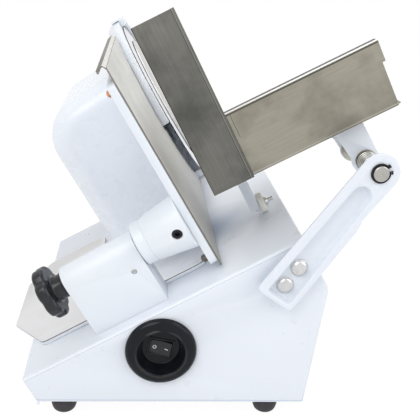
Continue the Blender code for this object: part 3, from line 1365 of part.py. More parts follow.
def make_worm_wheel(head):
    low, high = wheel_range()
    points = []
    for tooth in range(WHEEL_TEETH):
        for place_share, drop_share in zip(TOOTH_PLACE_SHARES, TOOTH_DROP_SHARES):
            radius = WHEEL_RADIUS - WHEEL_TOOTH * drop_share
            angle = math.tau * (tooth + place_share) / WHEEL_TEETH
            points.append((BLADE_Y + radius * math.cos(angle), BLADE_V + radius * math.sin(angle)))
    bore = circle((BLADE_Y, BLADE_V), BLADE_SHAFT_RADIUS + RUNNING_GAP, 32)
    plate("worm_wheel", points, "YZ", low, high, head, "brass", [bore])


def worm_place():
    """The worm's axis runs along Y below the wheel."""
    low, high = wheel_range()
    return (low + high) / 2.0, BLADE_V - WHEEL_RADIUS - WORM_RADIUS - 2.0 * RUNNING_GAP


def make_motor(head):
    u, v = worm_place()
    worm_far = BLADE_Y + WORM_FAR_REACH
    worm_near = BLADE_Y - WORM_NEAR_REACH
    motor_far = MOTOR_FAR_Y
    motor_near = MOTOR_NEAR_Y
    neck = WORM_NECK_RADIUS
    end_cap = MOTOR_END_CAP
    profile = [
        (0.0, motor_far - end_cap), (neck + RUNNING_GAP, motor_far - end_cap),
        (neck + RUNNING_GAP, motor_far), (MOTOR_END_RADIUS, motor_far), (MOTOR_RADIUS, motor_far - end_cap),
        (MOTOR_RADIUS, motor_near + end_cap), (MOTOR_END_RADIUS, motor_near), (0.0, motor_near)]
    body = turned("motor_body", profile, "Y", head, "zinc_steel", (u, 0.0, v), steps=24)
    saddle = block(
        "motor_saddle", (u - MOTOR_SADDLE_HALF_WIDTH, motor_near + end_cap, -FRAME_FOOT_HEIGHT),
        (u + MOTOR_SADDLE_HALF_WIDTH, motor_far - end_cap, v - MOTOR_RADIUS / 2.0), head, "zinc_steel")
    join(body, saddle)
    trim = deck_trim("motor_trim", head, u - MOTOR_RADIUS, u + MOTOR_RADIUS, motor_near, motor_far)
    cut(body, trim)
    worm_profile = [
        (0.0, worm_far), (WORM_TIP_RADIUS, worm_far), (WORM_RADIUS, worm_far - WORM_TAPER),
        (WORM_RADIUS, worm_near + WORM_TAPER), (neck, worm_near), (neck, motor_far - end_cap + SEAT_GAP),
        (0.0, motor_far - end_cap + SEAT_GAP)]
    turned("motor_worm", worm_profile, "Y", head, "bright_steel", (u, 0.0, v), steps=24)


def make_motor_cover(head):
    """The hood over motor and gears, open towards the blade frame and below."""
    right = HOOD_RIGHT
    left = right - HOOD_LENGTH
    work = bmesh.new()
    bmesh.ops.create_cube(work, size=1.0)
    size = (right - left, HOOD_FAR_Y - HOOD_NEAR_Y, HOOD_TOP + FRAME_FOOT_HEIGHT)
    middle = (
        (right + left) / 2.0, (HOOD_FAR_Y + HOOD_NEAR_Y) / 2.0,
        (HOOD_TOP - FRAME_FOOT_HEIGHT) / 2.0)
    bmesh.ops.scale(work, vec=size, verts=work.verts)
    bmesh.ops.translate(work, vec=middle, verts=work.verts)
    for vert in work.verts:
        if vert.co.z > 0.0 and vert.co.x < middle[0]:
            vert.co.z -= HOOD_TOP_DROP
    open_faces = [face for face in work.faces if face.normal.x > 0.9 or face.normal.z < -0.9]
    bmesh.ops.delete(work, geom=open_faces, context="FACES")
    back = [
        edge for edge in work.edges
        if len(edge.link_faces) == 2 and all(vert.co.x < middle[0] for vert in edge.verts)]
    bmesh.ops.bevel(work, geom=back, offset=HOOD_RADIUS, segments=HOOD_STEPS, profile=0.5,
                    affect="EDGES", clamp_overlap=True)
    sides = [
        edge for edge in work.edges
        if len(edge.link_faces) == 2 and edge.calc_face_angle() > math.radians(60.0)]
    bmesh.ops.bevel(work, geom=sides, offset=HOOD_SIDE_RADIUS, segments=HOOD_STEPS, profile=0.5,
                    affect="EDGES", clamp_overlap=True)
    mesh = bpy.data.meshes.new("motor_cover")
    work.to_mesh(mesh)
    work.free()
    cover = add_object("motor_cover", mesh, head, "white_paint")
    wall = cover.modifiers.new("wall", "SOLIDIFY")
    wall.thickness = HOOD_WALL
    wall.offset = -1.0
    wall.use_even_offset = True
    trim = deck_trim("hood_trim", head, left, right, HOOD_NEAR_Y, HOOD_FAR_Y)
    cut(cover, trim)


# Receiving tray

def make_tray(deck):
    """The tray that fits round the housing and the hood, with its rim turned down to the deck."""
    near = HOUSING_FAR_Y + TRAY_HOUSING_GAP
    far = BASE_DEPTH - TRAY_FAR_INSET
    reach = HEAD_FOOT_S - TRAY_HEAD_GAP
    inner_x = HEAD_FOOT_S + HOOD_RIGHT - HOOD_LENGTH - TRAY_HOOD_GAP
    inner_y = HOOD_NEAR_Y - TRAY_HOOD_SIDE_GAP
    corners = [
        (TRAY_FRONT_CORNER, near), (reach, near), (reach, inner_y), (inner_x, inner_y), (inner_x, far),
        (TRAY_FAR_CORNER, far), (TRAY_FRONT, far - TRAY_FAR_CHAMFER), (TRAY_FRONT, near + TRAY_NEAR_CHAMFER)]
    outline = round_corners(corners, TRAY_CORNER_RADIUS)
    tray = plate("receiving_tray", outline, "XY", SEAT_GAP, SEAT_GAP + TRAY_HEIGHT, deck, "stainless")
    inner = inset_outline(corners, TRAY_LIP)
    hollow = plate(
        "tray_hollow", round_corners(inner, TRAY_CORNER_RADIUS - TRAY_LIP), "XY", SEAT_GAP - CUT_OVERRUN,
        SEAT_GAP + TRAY_HEIGHT - TRAY_SHEET, deck, "stainless")
    cut(tray, hollow)


# Carriage

def trough_near_y():
    return FENCE_FACE_Y + FENCE_SHEET + SEAT_GAP


def make_fence(carriage):
    """The upright plate that pushes the food, hemmed along its outer edge."""
    low_y, high_y = FENCE_FACE_Y, FENCE_FACE_Y + FENCE_SHEET
    outline = box_outline(FENCE_LEFT, FENCE_RIGHT, FENCE_BOTTOM, FENCE_TOP)
    fence = plate("carriage_fence", outline, "XZ", low_y, high_y, carriage, "dark_stainless")
    hem = block(
        "fence_hem", (FENCE_RIGHT - FENCE_HEM_WIDTH, (low_y + high_y) / 2.0, TROUGH_TOP + SEAT_GAP),
        (FENCE_RIGHT, high_y + FENCE_SHEET, FENCE_TOP), carriage, "dark_stainless")
    join(fence, hem)


def make_trough(carriage):
    """The sheet trough: a low near wall with a flange along its top, and a floor with a far lip."""
    near = trough_near_y()
    far = near + TROUGH_DEPTH
    sheet = TROUGH_SHEET
    section = [
        (near, TROUGH_FLOOR - sheet), (far, TROUGH_FLOOR - sheet), (far, TROUGH_FLOOR + TROUGH_LIP),
        (far - sheet, TROUGH_FLOOR + TROUGH_LIP), (far - sheet, TROUGH_FLOOR), (near + sheet, TROUGH_FLOOR),
        (near + sheet, TROUGH_TOP - sheet), (near + TROUGH_FLANGE, TROUGH_TOP - sheet),
        (near + TROUGH_FLANGE, TROUGH_TOP), (near, TROUGH_TOP)]
    trough = plate("carriage_trough", section, "YZ", TROUGH_LEFT, TROUGH_RIGHT, carriage, "stainless")
    notch = block(
        "trough_notch", (TROUGH_RIGHT - TROUGH_NOTCH_WIDTH, near - CUT_OVERRUN, TROUGH_FLOOR - sheet - CUT_OVERRUN),
        (TROUGH_RIGHT + CUT_OVERRUN, near + sheet + CUT_OVERRUN, TROUGH_TOP - TROUGH_NOTCH_DROP), carriage,
        "stainless")
    cut(trough, notch)
    for number, (u, y) in enumerate(trough_screw_places()):
        hole = rod(f"trough_hole_{number}", TROUGH_SCREW_RADIUS + RUNNING_GAP, "Z",
                   TROUGH_FLOOR - sheet - CUT_OVERRUN, TROUGH_FLOOR + CUT_OVERRUN, (u, y, 0.0), carriage,
                   "stainless", steps=12)
        cut(trough, hole)


def trough_screw_places():
    middle = (BRACKET_LEFT + BRACKET_RIGHT) / 2.0
    leg_u, leg_y = leg_place()
    return [(middle, (BRACKET_NEAR_Y + BRACKET_FAR_Y) / 2.0), (leg_u - LEG_FOOT_HALF / 2.0, leg_y)]


def bracket_top():
    return TROUGH_FLOOR - TROUGH_SHEET - SEAT_GAP


def make_bracket(carriage):
    """The U bracket that hangs the trough on the shaft's bushes."""
    top = bracket_top()
    left = (BRACKET_LEFT, top)
    right = (BRACKET_RIGHT, top)
    eye = arc((0.0, 0.0), BRACKET_EYE_RADIUS, math.radians(10.0), math.radians(-205.0), 18)
    outline = [right] + eye + [left]
    hole = circle((0.0, 0.0), BUSH_RADIUS + RUNNING_GAP, 32)
    bracket = plate("carriage_bracket", outline, "XZ", BRACKET_NEAR_Y, BRACKET_NEAR_Y + BRACKET_PLATE,
                    carriage, "white_paint", [hole])
    far_plate = plate("bracket_far_plate", outline, "XZ", BRACKET_FAR_Y - BRACKET_PLATE, BRACKET_FAR_Y,
                      carriage, "white_paint", [hole])
    web = block("bracket_web", (BRACKET_LEFT, BRACKET_NEAR_Y, top - BRACKET_PLATE),
                (BRACKET_RIGHT, BRACKET_FAR_Y, top), carriage, "white_paint")
    join(bracket, far_plate, web)
    for number, (u, y) in enumerate(trough_screw_places()[:1]):
        hole = rod(f"bracket_hole_{number}", TROUGH_SCREW_RADIUS + RUNNING_GAP, "Z",
                   top - BRACKET_PLATE - CUT_OVERRUN, top + CUT_OVERRUN, (u, y, 0.0), carriage,
                   "white_paint", steps=12)
        cut(bracket, hole)


def make_slide_bushes(carriage):
    """Two flanged bushes that slide on the shaft; the bracket turns on them."""
    bore = SHAFT_RADIUS + RUNNING_GAP
    flange = BRACKET_PLATE + SEAT_GAP
    end = flange + BUSH_FLANGE
    profile = [
        (bore, end), (BUSH_FLANGE_RADIUS, end), (BUSH_FLANGE_RADIUS, flange), (BUSH_RADIUS, flange),
        (BUSH_RADIUS, 0.0), (bore, 0.0)]
    near = turned("near_bush", profile, "Y", carriage, "brass", (0.0, BRACKET_NEAR_Y, 0.0), closed=True,
                  steps=24)
    far = turned("far_bush", profile, "Y", carriage, "brass", (0.0, BRACKET_FAR_Y, 0.0), closed=True,
                 steps=24)
    far.rotation_euler = y_facing("near")
    return near, far


def roller_place():
    """The roller's centre in the carriage frame, so that it rests on the deck."""
    x, z = deck_point(DECK_LENGTH - ROLLER_REAR_INSET, ROLLER_RADIUS + SEAT_GAP)
    across, up = x - SHAFT_X, z - SHAFT_Z
    return (
        across * math.cos(CARRIAGE_TILT) + up * math.sin(CARRIAGE_TILT), ROLLER_Y,
        -across * math.sin(CARRIAGE_TILT) + up * math.cos(CARRIAGE_TILT))


def leg_place():
    """The middle of the leg's tab under the trough."""
    u = roller_place()[0] - ROLLER_WIDTH / 2.0 - SEAT_GAP - LEG_PLATE / 2.0
    return u, ROLLER_Y


def make_roller_leg(carriage):
    """A folded strap from the trough's floor down to the roller's pin."""
    roller = roller_place()
    u, y = leg_place()
    top = bracket_top()
    low = roller[2] - LEG_TOE_DROP
    outline = [
        (y - LEG_TAB_WIDTH, top), (y + LEG_TAB_WIDTH, top), (y + LEG_FOOT_HALF, roller[2]),
        (y + LEG_TOE_HALF, low), (y - LEG_TOE_HALF, low), (y - LEG_FOOT_HALF, roller[2])]
    hole = circle((y, roller[2]), ROLLER_BORE + RUNNING_GAP, SMALL_ROUND_STEPS)
    leg = plate("roller_leg", outline, "YZ", u - LEG_PLATE / 2.0, u + LEG_PLATE / 2.0, carriage,
                "white_paint", [hole])
    tab = block("leg_tab", (u - LEG_TAB_LENGTH / 2.0, y - LEG_TAB_WIDTH, top - LEG_PLATE),
                (u + LEG_TAB_LENGTH / 2.0, y + LEG_TAB_WIDTH, top), carriage, "white_paint")
    join(leg, tab)
    for number, (screw_u, screw_y) in enumerate(trough_screw_places()[1:]):
        bore = rod(f"leg_hole_{number}", TROUGH_SCREW_RADIUS + RUNNING_GAP, "Z",
                   top - LEG_PLATE - CUT_OVERRUN, top + CUT_OVERRUN, (screw_u, screw_y, 0.0), carriage,
                   "white_paint", steps=12)
        cut(leg, bore)


def make_roller(carriage):
    """A ball bearing used as the roller, with its balls hidden behind the shields."""
    bore = ROLLER_BORE + RUNNING_GAP
    half = ROLLER_WIDTH / 2.0
    shield = half - BUSH_FLANGE / 2.0
    outer_lip = ROLLER_OUTER_LIP
    inner_lip = ROLLER_INNER_LIP
    profile = [
        (bore, half), (inner_lip, half), (inner_lip, shield), (outer_lip, shield), (outer_lip, half),
        (ROLLER_RADIUS, half), (ROLLER_RADIUS, -half), (outer_lip, -half), (outer_lip, -shield),
        (inner_lip, -shield), (inner_lip, -half), (bore, -half)]
    turned("roller_bearing", profile, "X", carriage, "bright_steel", roller_place(), closed=True,
           steps=24)


def make_roller_pin(carriage):
    u, y, v = roller_place()
    half = ROLLER_WIDTH / 2.0
    right = half + SEAT_GAP
    left = -half - 2.0 * SEAT_GAP - LEG_PLATE
    profile = [
        (0.0, right + PIN_HEAD), (PIN_HEAD_RADIUS, right + PIN_HEAD), (PIN_HEAD_RADIUS, right),
        (ROLLER_BORE, right), (ROLLER_BORE, left), (PIN_HEAD_RADIUS, left),
        (PIN_HEAD_RADIUS, left - PIN_HEAD), (0.0, left - PIN_HEAD)]
    turned("roller_pin", profile, "X", carriage, "zinc_steel", (u, y, v), steps=SMALL_ROUND_STEPS)


def make_carriage_screws(carriage):
    top = TROUGH_FLOOR + SEAT_GAP
    low = bracket_top() - BRACKET_PLATE - TROUGH_SCREW_HEAD
    profile = [
        (0.0, top + TROUGH_SCREW_HEAD), (TROUGH_SCREW_CROWN_RADIUS, top + TROUGH_SCREW_HEAD),
        (TROUGH_SCREW_HEAD_RADIUS, top), (TROUGH_SCREW_RADIUS, top), (TROUGH_SCREW_RADIUS, low), (0.0, low)]
    for name, (u, y) in zip(("bracket_screw", "leg_screw"), trough_screw_places()):
        turned(name, profile, "Z", carriage, "bright_steel", (u, y, 0.0), steps=16)


# Whole slicer

def stand_on_origin(root):
    """Move the slicer so that the middle of its box stands on the origin."""
    bpy.context.view_layer.update()
    depsgraph = bpy.context.evaluated_depsgraph_get()
    low = Vector((math.inf, math.inf, math.inf))
    high = -low
    for item in parts.objects:
        if item.type != "MESH":
            continue
        mesh = item.evaluated_get(depsgraph).to_mesh()
        for vert in mesh.vertices:
            place = item.matrix_world @ vert.co
            for axis in range(3):
                low[axis] = min(low[axis], place[axis])
                high[axis] = max(high[axis], place[axis])
    root.location = (-(low.x + high.x) / 2.0, -(low.y + high.y) / 2.0, -low.z)
    bpy.context.view_layer.update()
    print("size in mm:", [round(1000.0 * (high[axis] - low[axis]), 1) for axis in range(3)])


def print_places(frames):
    for name, frame, place, axis in (
            ("shaft", "carriage", (0.0, 0.0, 0.0), (0.0, 1.0, 0.0)),
            ("gauge", "head", (0.0, AXIS_Y, AXIS_V), (1.0, 0.0, 0.0)),
            ("knob", "head", (knob_seat(), AXIS_Y, AXIS_V), (1.0, 0.0, 0.0)),
            ("blade", "head", (blade_plane(), BLADE_Y, BLADE_V), (1.0, 0.0, 0.0)),
            ("worm", "head", (worm_place()[0], BLADE_Y, worm_place()[1]), (0.0, 1.0, 0.0)),
            ("roller", "carriage", roller_place(), (1.0, 0.0, 0.0)),
            ("rocker", "base", (SWITCH_X, CUP_DEPTH + RUNNING_GAP, SWITCH_Z),
             (-math.sin(SWITCH_TURN), 0.0, math.cos(SWITCH_TURN)))):
        matrix = frames[frame].matrix_world
        where = matrix @ Vector(place)
        along = matrix.to_3x3() @ Vector(axis)
        print(name, [round(value, 6) for value in where], [round(value, 6) for value in along])
    print("carriage travel", round(spring_range("far")[0] - SEAT_GAP - BRACKET_FAR_Y, 6))


def main():
    root = make_frame("slicer", None, (0.0, 0.0, 0.0), 0.0)
    base = make_frame("base_frame", root, (0.0, 0.0, 0.0), 0.0)
    deck = make_frame("deck_frame", root, (0.0, 0.0, 0.0), DECK_SLOPE)
    head = make_frame("head_frame", deck, (HEAD_FOOT_S, 0.0, 0.0), HEAD_TILT - DECK_SLOPE)
    carriage = make_frame("carriage_frame", root, (SHAFT_X, 0.0, SHAFT_Z), CARRIAGE_TILT)

    make_base_housing(base)
    make_bottom_plate(base)
    make_feet(base)
    make_gland(base)
    make_switch_bezel(base)
    make_switch_body(base)
    make_rocker(base)

    for side in ("near", "far"):
        make_arm(base, side)
        make_spring(base, side)
    make_arm_bolts(base)
    make_guide_shaft(base)
    make_shaft_clips(base)
    make_spring_washers(base)

    make_gauge_plate(head)
    make_gauge_backing(head)
    make_gauge_boss(head)
    make_set_screw(head)
    make_adjusting_rod(head)
    make_gauge_screws(head)
    make_knob_housing(head)
    make_housing_screw(head)
    make_knob(head)
    make_lead_screw(head)

    make_blade(head)
    make_blade_cover(head)
    make_cover_bolt(head)
    make_blade_frame(head)
    make_blade_guard(head)
    make_blade_shaft(head)
    make_shaft_bearings(head)
    make_worm_wheel(head)
    make_motor(head)
    make_motor_cover(head)
    make_tray(deck)

    make_fence(carriage)
    make_trough(carriage)
    make_bracket(carriage)
    make_slide_bushes(carriage)
    make_roller_leg(carriage)
    make_roller(carriage)
    make_roller_pin(carriage)
    make_carriage_screws(carriage)

    stand_on_origin(root)
    print_places({"base": base, "deck": deck, "head": head, "carriage": carriage})


clear_scene()
parts = make_collection(PARTS_NAME)
cutters = make_collection(CUTTERS_NAME)
main()
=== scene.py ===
"""Looks of the electric meat slicer: materials, fine surface detail, soft studio light and the camera."""

import json
import math

import bmesh
import bpy
from mathutils import Matrix, Vector

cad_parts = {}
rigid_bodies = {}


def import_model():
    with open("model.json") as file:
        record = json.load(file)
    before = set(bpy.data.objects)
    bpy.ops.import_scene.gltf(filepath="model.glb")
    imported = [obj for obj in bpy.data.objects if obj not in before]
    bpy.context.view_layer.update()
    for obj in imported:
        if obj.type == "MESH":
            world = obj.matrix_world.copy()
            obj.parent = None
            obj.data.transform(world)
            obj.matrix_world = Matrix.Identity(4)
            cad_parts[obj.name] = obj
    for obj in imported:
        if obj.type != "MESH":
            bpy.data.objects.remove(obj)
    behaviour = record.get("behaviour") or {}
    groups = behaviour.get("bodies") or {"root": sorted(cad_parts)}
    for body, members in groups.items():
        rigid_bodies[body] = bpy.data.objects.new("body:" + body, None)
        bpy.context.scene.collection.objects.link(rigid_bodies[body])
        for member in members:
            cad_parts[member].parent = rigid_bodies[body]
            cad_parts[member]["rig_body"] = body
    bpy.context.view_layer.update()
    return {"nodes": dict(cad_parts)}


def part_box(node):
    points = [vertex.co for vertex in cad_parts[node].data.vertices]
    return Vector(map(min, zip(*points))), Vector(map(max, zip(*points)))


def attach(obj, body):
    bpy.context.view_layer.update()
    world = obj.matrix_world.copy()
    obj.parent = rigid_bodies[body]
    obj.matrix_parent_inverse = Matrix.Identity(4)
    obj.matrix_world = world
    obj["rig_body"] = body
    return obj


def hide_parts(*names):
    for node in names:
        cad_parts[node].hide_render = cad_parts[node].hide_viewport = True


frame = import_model()
nodes = frame["nodes"]

# Camera: fitted to the parallel edges and circles of the photograph
FORWARD = Vector((0.1045, 0.9405, -0.3234)).normalized()
UP = Vector((-0.0287, 0.3278, 0.9443))
CAMERA_PLACE = Vector((-0.0563, -0.8208, 0.4239))
LENS = 63.05

# Frames of the part's source, in the model's own coordinates
DECK_SLOPE = math.radians(30.35)
HEAD_TILT = math.radians(31.7)
CARRIAGE_TILT = math.radians(29.0)
NEAR_PANEL = -0.2104
PANEL_SPAN = 0.3520
DECK_FOOT = (-0.155638, NEAR_PANEL, 0.0406)
LEVEL = Matrix.Identity(4)


def tilted(place, tilt):
    return Matrix.Translation(place) @ Matrix.Rotation(-tilt, 4, "Y")


def axis_of(place, name):
    """A frame's own axis, in the model's coordinates."""
    return tuple(place.to_3x3().col["XYZ".index(name)])


BASE = tilted(DECK_FOOT, 0.0)
DECK = tilted(DECK_FOOT, DECK_SLOPE)
HEAD = tilted((0.03093, NEAR_PANEL, 0.14984), HEAD_TILT)
CARRIAGE = tilted((0.157633, NEAR_PANEL, 0.255929), CARRIAGE_TILT)
HEAD_AXIS = axis_of(HEAD, "X")
CARRIAGE_UP = axis_of(CARRIAGE, "Z")
DECK_UP = axis_of(DECK, "Z")
DEPTHWISE = (0.0, 1.0, 0.0)

# Centre lines, as places across and up the head's own frame
ROD_LINE = (0.0295, 0.0575)
BLADE_LINE = (0.325, 0.1135)
BLADE_CENTRE = tuple(HEAD @ Vector((0.009, *BLADE_LINE)))
SHAFT_CENTRE = tuple(CARRIAGE.translation)

# Turns that bring Z, the axis of turned pieces, to another axis
TURNS = {
    "X": Matrix.Rotation(math.radians(90.0), 4, "Y"),
    "Y": Matrix.Rotation(math.radians(-90.0), 4, "X"),
    "-Y": Matrix.Rotation(math.radians(90.0), 4, "X"),
}


# Node materials

def fill(node, *values, **named):
    """Set or link a node's inputs, given in order or by name with _ for a space."""
    pairs = list(zip(node.inputs, values))
    pairs += [(node.inputs[name.replace("_", " ")], value) for name, value in named.items()]
    for socket, value in pairs:
        if hasattr(value, "is_output"):
            node.id_data.links.new(value, socket)
        else:
            socket.default_value = value
    return node


def add(tree, kind, *values, operation=None, **named):
    """Add a node to a tree and fill its inputs."""
    node = tree.nodes.new(f"ShaderNode{kind}")
    if operation:
        node.operation = operation
    return fill(node, *values, **named)


def grey_stops(*stops):
    """Stops for a ramp, from (position, level) pairs."""
    return [(position, (level,) * 3) for position, level in stops]


class Shader:
    """A material under construction, with short names for the nodes it needs."""

    def __init__(self, name, **values):
        self.material = bpy.data.materials.new(name)
        self.material.use_nodes = True
        self.tree = self.material.node_tree
        self.surface = fill(self.tree.nodes["Principled BSDF"], **values)
        place = add(self.tree, "TexCoord")
        self.place = place.outputs["Object"]
        self.normal = place.outputs["Normal"]

    def scaled(self, scale, turn=(0.0, 0.0, 0.0)):
        """Object coordinates turned and then stretched, for grain that runs along one direction."""
        turned = add(self.tree, "Mapping", Vector=self.place, Rotation=turn)
        return add(self.tree, "Mapping", Vector=turned.outputs["Vector"], Scale=scale).outputs["Vector"]

    def noise(self, scale, detail=3.0, rough=0.5, where=None):
        node = add(self.tree, "TexNoise", Vector=where or self.place, Scale=scale, Detail=detail,
                   Roughness=rough)
        return node.outputs["Fac"]

    def vector(self, operation, first, *second):
        return add(self.tree, "VectorMath", first, *second, operation=operation)

    def rings(self, place, axis, scale):
        """Fine turning marks round an axis, the same along it."""
        shift = self.vector("SUBTRACT", self.place, place)
        cross = self.vector("CROSS_PRODUCT", shift.outputs[0], axis)
        node = self.tree.nodes.new("ShaderNodeTexNoise")
        node.noise_dimensions = "1D"
        reach = self.vector("LENGTH", cross.outputs[0]).outputs["Value"]
        return fill(node, W=reach, Scale=scale, Detail=4.0, Roughness=0.7).outputs["Fac"]

    def ramp(self, factor, stops):
        """Colours along a factor, from two (position, colour) stops."""
        node = add(self.tree, "ValToRGB", factor)
        for point, (position, colour) in zip(node.color_ramp.elements, stops):
            point.position = position
            point.color = (*colour, 1.0)
        return node.outputs["Color"]

    def grey(self, factor, low, high, start=0.3, end=0.7):
        return self.ramp(factor, grey_stops((start, low), (end, high)))

    def mix(self, factor, first, second):
        node = self.tree.nodes.new("ShaderNodeMix")
        node.data_type = "RGBA"
        sockets = {0: factor, 6: first, 7: second}
        for index, value in sockets.items():
            if hasattr(value, "is_output"):
                self.tree.links.new(value, node.inputs[index])
            else:
                node.inputs[index].default_value = value if index == 0 else (*value, 1.0)
        return node.outputs[2]

    def maths(self, operation, *values):
        return add(self.tree, "Math", *values, operation=operation).outputs[0]

    def both(self, first, second):
        return self.maths("MULTIPLY", first, second)

    def dot(self, source, direction):
        return self.vector("DOT_PRODUCT", source, direction).outputs["Value"]

    def along(self, direction, start):
        """Distance along a direction."""
        return self.maths("SUBTRACT", self.dot(self.place, direction), start)

    def level(self, place, axis):
        """Distance along a frame's axis from the frame's own origin."""
        direction = axis_of(place, axis)
        return self.along(direction, Vector(direction).dot(place.translation))

    def facing(self, direction, least=0.7, both_ways=False):
        """One where the surface faces a direction, or its opposite too, and nothing elsewhere."""
        share = self.dot(self.normal, direction)
        if both_ways:
            share = self.maths("ABSOLUTE", share)
        return self.maths("GREATER_THAN", share, least)

    def edges(self, direction):
        """One on the narrow faces round a sheet, which reflect the dark side of the room."""
        return self.maths("SUBTRACT", 1.0, self.facing(direction, 0.45, True))

    def spot(self, place, reach, strength):
        """A soft round patch about a point."""
        away = self.vector("DISTANCE", self.place, place).outputs["Value"]
        uneven = self.maths("MULTIPLY_ADD", self.noise(30.0, 3.0), 0.03, away)
        return self.ramp(uneven, grey_stops((0.3 * reach, strength), (reach, 0.0)))

    def band(self, value, low, high):
        """One between two values and nothing outside them."""
        return self.maths("COMPARE", value, (low + high) / 2.0, (high - low) / 2.0)

    def lines(self, base, marks):
        """Lay (mask, colour) marks over a colour."""
        for mask, colour in marks:
            base = self.mix(mask, base, colour)
        return base

    def finish(self, colour, roughness, height, strength, distance):
        """Link the surface's colour, roughness and bump, and give the material."""
        bump = add(self.tree, "Bump", Strength=strength, Distance=distance, Height=height)
        fill(self.surface, Base_Color=colour, Roughness=roughness, Normal=bump.outputs["Normal"])
        return self.material


def painted(name, colour, shade, rough=0.32, peel=0.05, marks=None):
    """Stoved enamel: faint mottling, scuffs, orange peel, slightly uneven gloss and drawn marks of seams,
    painted shade and painted highlight.
    """
    shader = Shader(name, Metallic=0.0, Coat_Weight=0.20, Coat_Roughness=0.15)
    base = shader.ramp(shader.noise(9.0, 2.0), [(0.30, shade), (0.70, colour)])
    scuffs = shader.ramp(shader.noise(75.0, 5.0, 0.65), grey_stops((0.68, 0.0), (0.85, 0.3)))
    base = shader.mix(scuffs, base, tuple(0.93 * part for part in shade))
    if marks:
        base = shader.lines(base, marks(shader))
    gloss = shader.grey(shader.noise(60.0, 4.0), rough - 0.05, rough + 0.07)
    return shader.finish(base, gloss, shader.noise(900.0, 2.0), peel, 0.00015)


def brushed(name, colour, shade, rough, scale, stain, marks, turn=(0.0, 0.0, 0.0), blotch=0.35, metal=1.0):
    """Sheet metal with fine straight brush lines, stained where it is handled, and with drawn marks."""
    shader = Shader(name, Metallic=metal)
    lines = shader.noise(1.0, 4.0, 0.6, shader.scaled(scale, turn))
    base = shader.ramp(lines, [(0.30, shade), (0.72, colour)])
    handled = shader.noise(16.0, 4.0, 0.6)
    base = shader.mix(shader.grey(handled, 0.0, blotch, 0.42, 0.66), base, stain)
    spots = shader.ramp(shader.noise(85.0, 3.0, 0.5), grey_stops((0.70, 0.0), (0.80, 0.45)))
    base = shader.mix(spots, base, tuple(0.72 * part for part in shade))
    base = shader.lines(base, marks(shader))
    uneven = shader.mix(0.5, shader.grey(lines, rough - 0.08, rough + 0.10),
                        shader.grey(handled, rough - 0.06, rough + 0.12))
    return shader.finish(base, uneven, lines, 0.10, 0.00005)


def machined(name, colour, shade, rough):
    """Plated metal with fine grain and light staining."""
    shader = Shader(name, Metallic=1.0)
    base = shader.ramp(shader.noise(55.0, 4.0, 0.6), [(0.32, shade), (0.68, colour)])
    gloss = shader.grey(shader.noise(240.0, 3.0), rough - 0.07, rough + 0.12)
    return shader.finish(base, gloss, shader.noise(700.0, 3.0), 0.12, 0.00006)


def lathed(name, colour, shade, place, axis, rough, scale=2500.0):
    """Metal with turning marks round an axis."""
    shader = Shader(name, Metallic=1.0)
    marks = shader.rings(place, axis, scale)
    base = shader.ramp(marks, [(0.30, shade), (0.70, colour)])
    base = shader.mix(shader.grey(shader.noise(60.0, 4.0, 0.6), 0.0, 0.5), base, shade)
    return shader.finish(base, shader.grey(marks, rough - 0.06, rough + 0.12), marks, 0.15, 0.00005)


def moulded(name, colour, shade, rough, grain=1500.0, depth=0.00004, shine=0.25):
    """Moulded plastic or rubber with fine grain and rubbed lighter spots."""
    shader = Shader(name, Metallic=0.0, Specular_IOR_Level=shine)
    base = shader.ramp(shader.noise(45.0, 4.0, 0.6), [(0.35, colour), (0.75, shade)])
    gloss = shader.grey(shader.noise(90.0, 3.0), rough - 0.06, rough + 0.10)
    return shader.finish(base, gloss, shader.noise(grain, 2.0), 0.25, depth)


def base_seams_and_painted_shade(shader):
    """Painted shade in the folds along the panels with a painted highlight above them, the skirt's line and
    painted shade on the deck about the gauge's foot.
    """
    depth = shader.level(DECK, "Z")
    panel = shader.facing(DEPTHWISE, both_ways=True)
    # painted shade in the fold just below the deck's edge
    fold = shader.both(shader.band(depth, -0.0033, -0.0029), panel)
    # painted highlight on the band between that fold and the deck's edge
    light = shader.both(shader.band(depth, -0.0029, -0.0012), panel)
    skirt = shader.band(shader.level(LEVEL, "Z"), 0.0186, 0.0194)
    # painted shade on the deck about the foot of the gauge plate
    foot = shader.both(shader.spot((0.030, -0.085, 0.149), 0.075, 0.90), shader.facing(DECK_UP))
    return [(foot, (0.28, 0.34, 0.45)), (light, (0.86, 0.89, 0.94)), (fold, (0.50, 0.56, 0.66)),
            (skirt, (0.52, 0.60, 0.72))]


def trough_lines(shader):
    """A painted highlight on the top of the flange with its dark rim, painted shade just under the flange on
    the near side, and the fold and seam there.
    """
    height = shader.level(CARRIAGE, "Z")
    # painted highlight along the top of the flange
    top = shader.both(shader.band(height, 0.0997, 0.1010), shader.facing(CARRIAGE_UP))
    near_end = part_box("carriage_trough")[0].y
    rim = shader.both(top, shader.band(shader.along(DEPTHWISE, near_end), 0.0045, 0.0120))
    near = shader.facing((0.0, -1.0, 0.0))
    fold = shader.both(shader.band(height, 0.0402, 0.0408), near)
    # painted shade on the near side just under the flange's edge
    under = shader.both(shader.band(height, 0.0983, 0.0997), near)
    seam = shader.both(shader.band(shader.level(CARRIAGE, "X"), -0.0965, -0.0960), near)
    seam = shader.both(seam, shader.band(height, 0.0760, 0.0990))
    return [(top, (0.86, 0.86, 0.85)), (rim, (0.05, 0.05, 0.045)), (under, (0.10, 0.095, 0.08)),
            (fold, (0.50, 0.49, 0.44)), (seam, (0.12, 0.11, 0.09))]


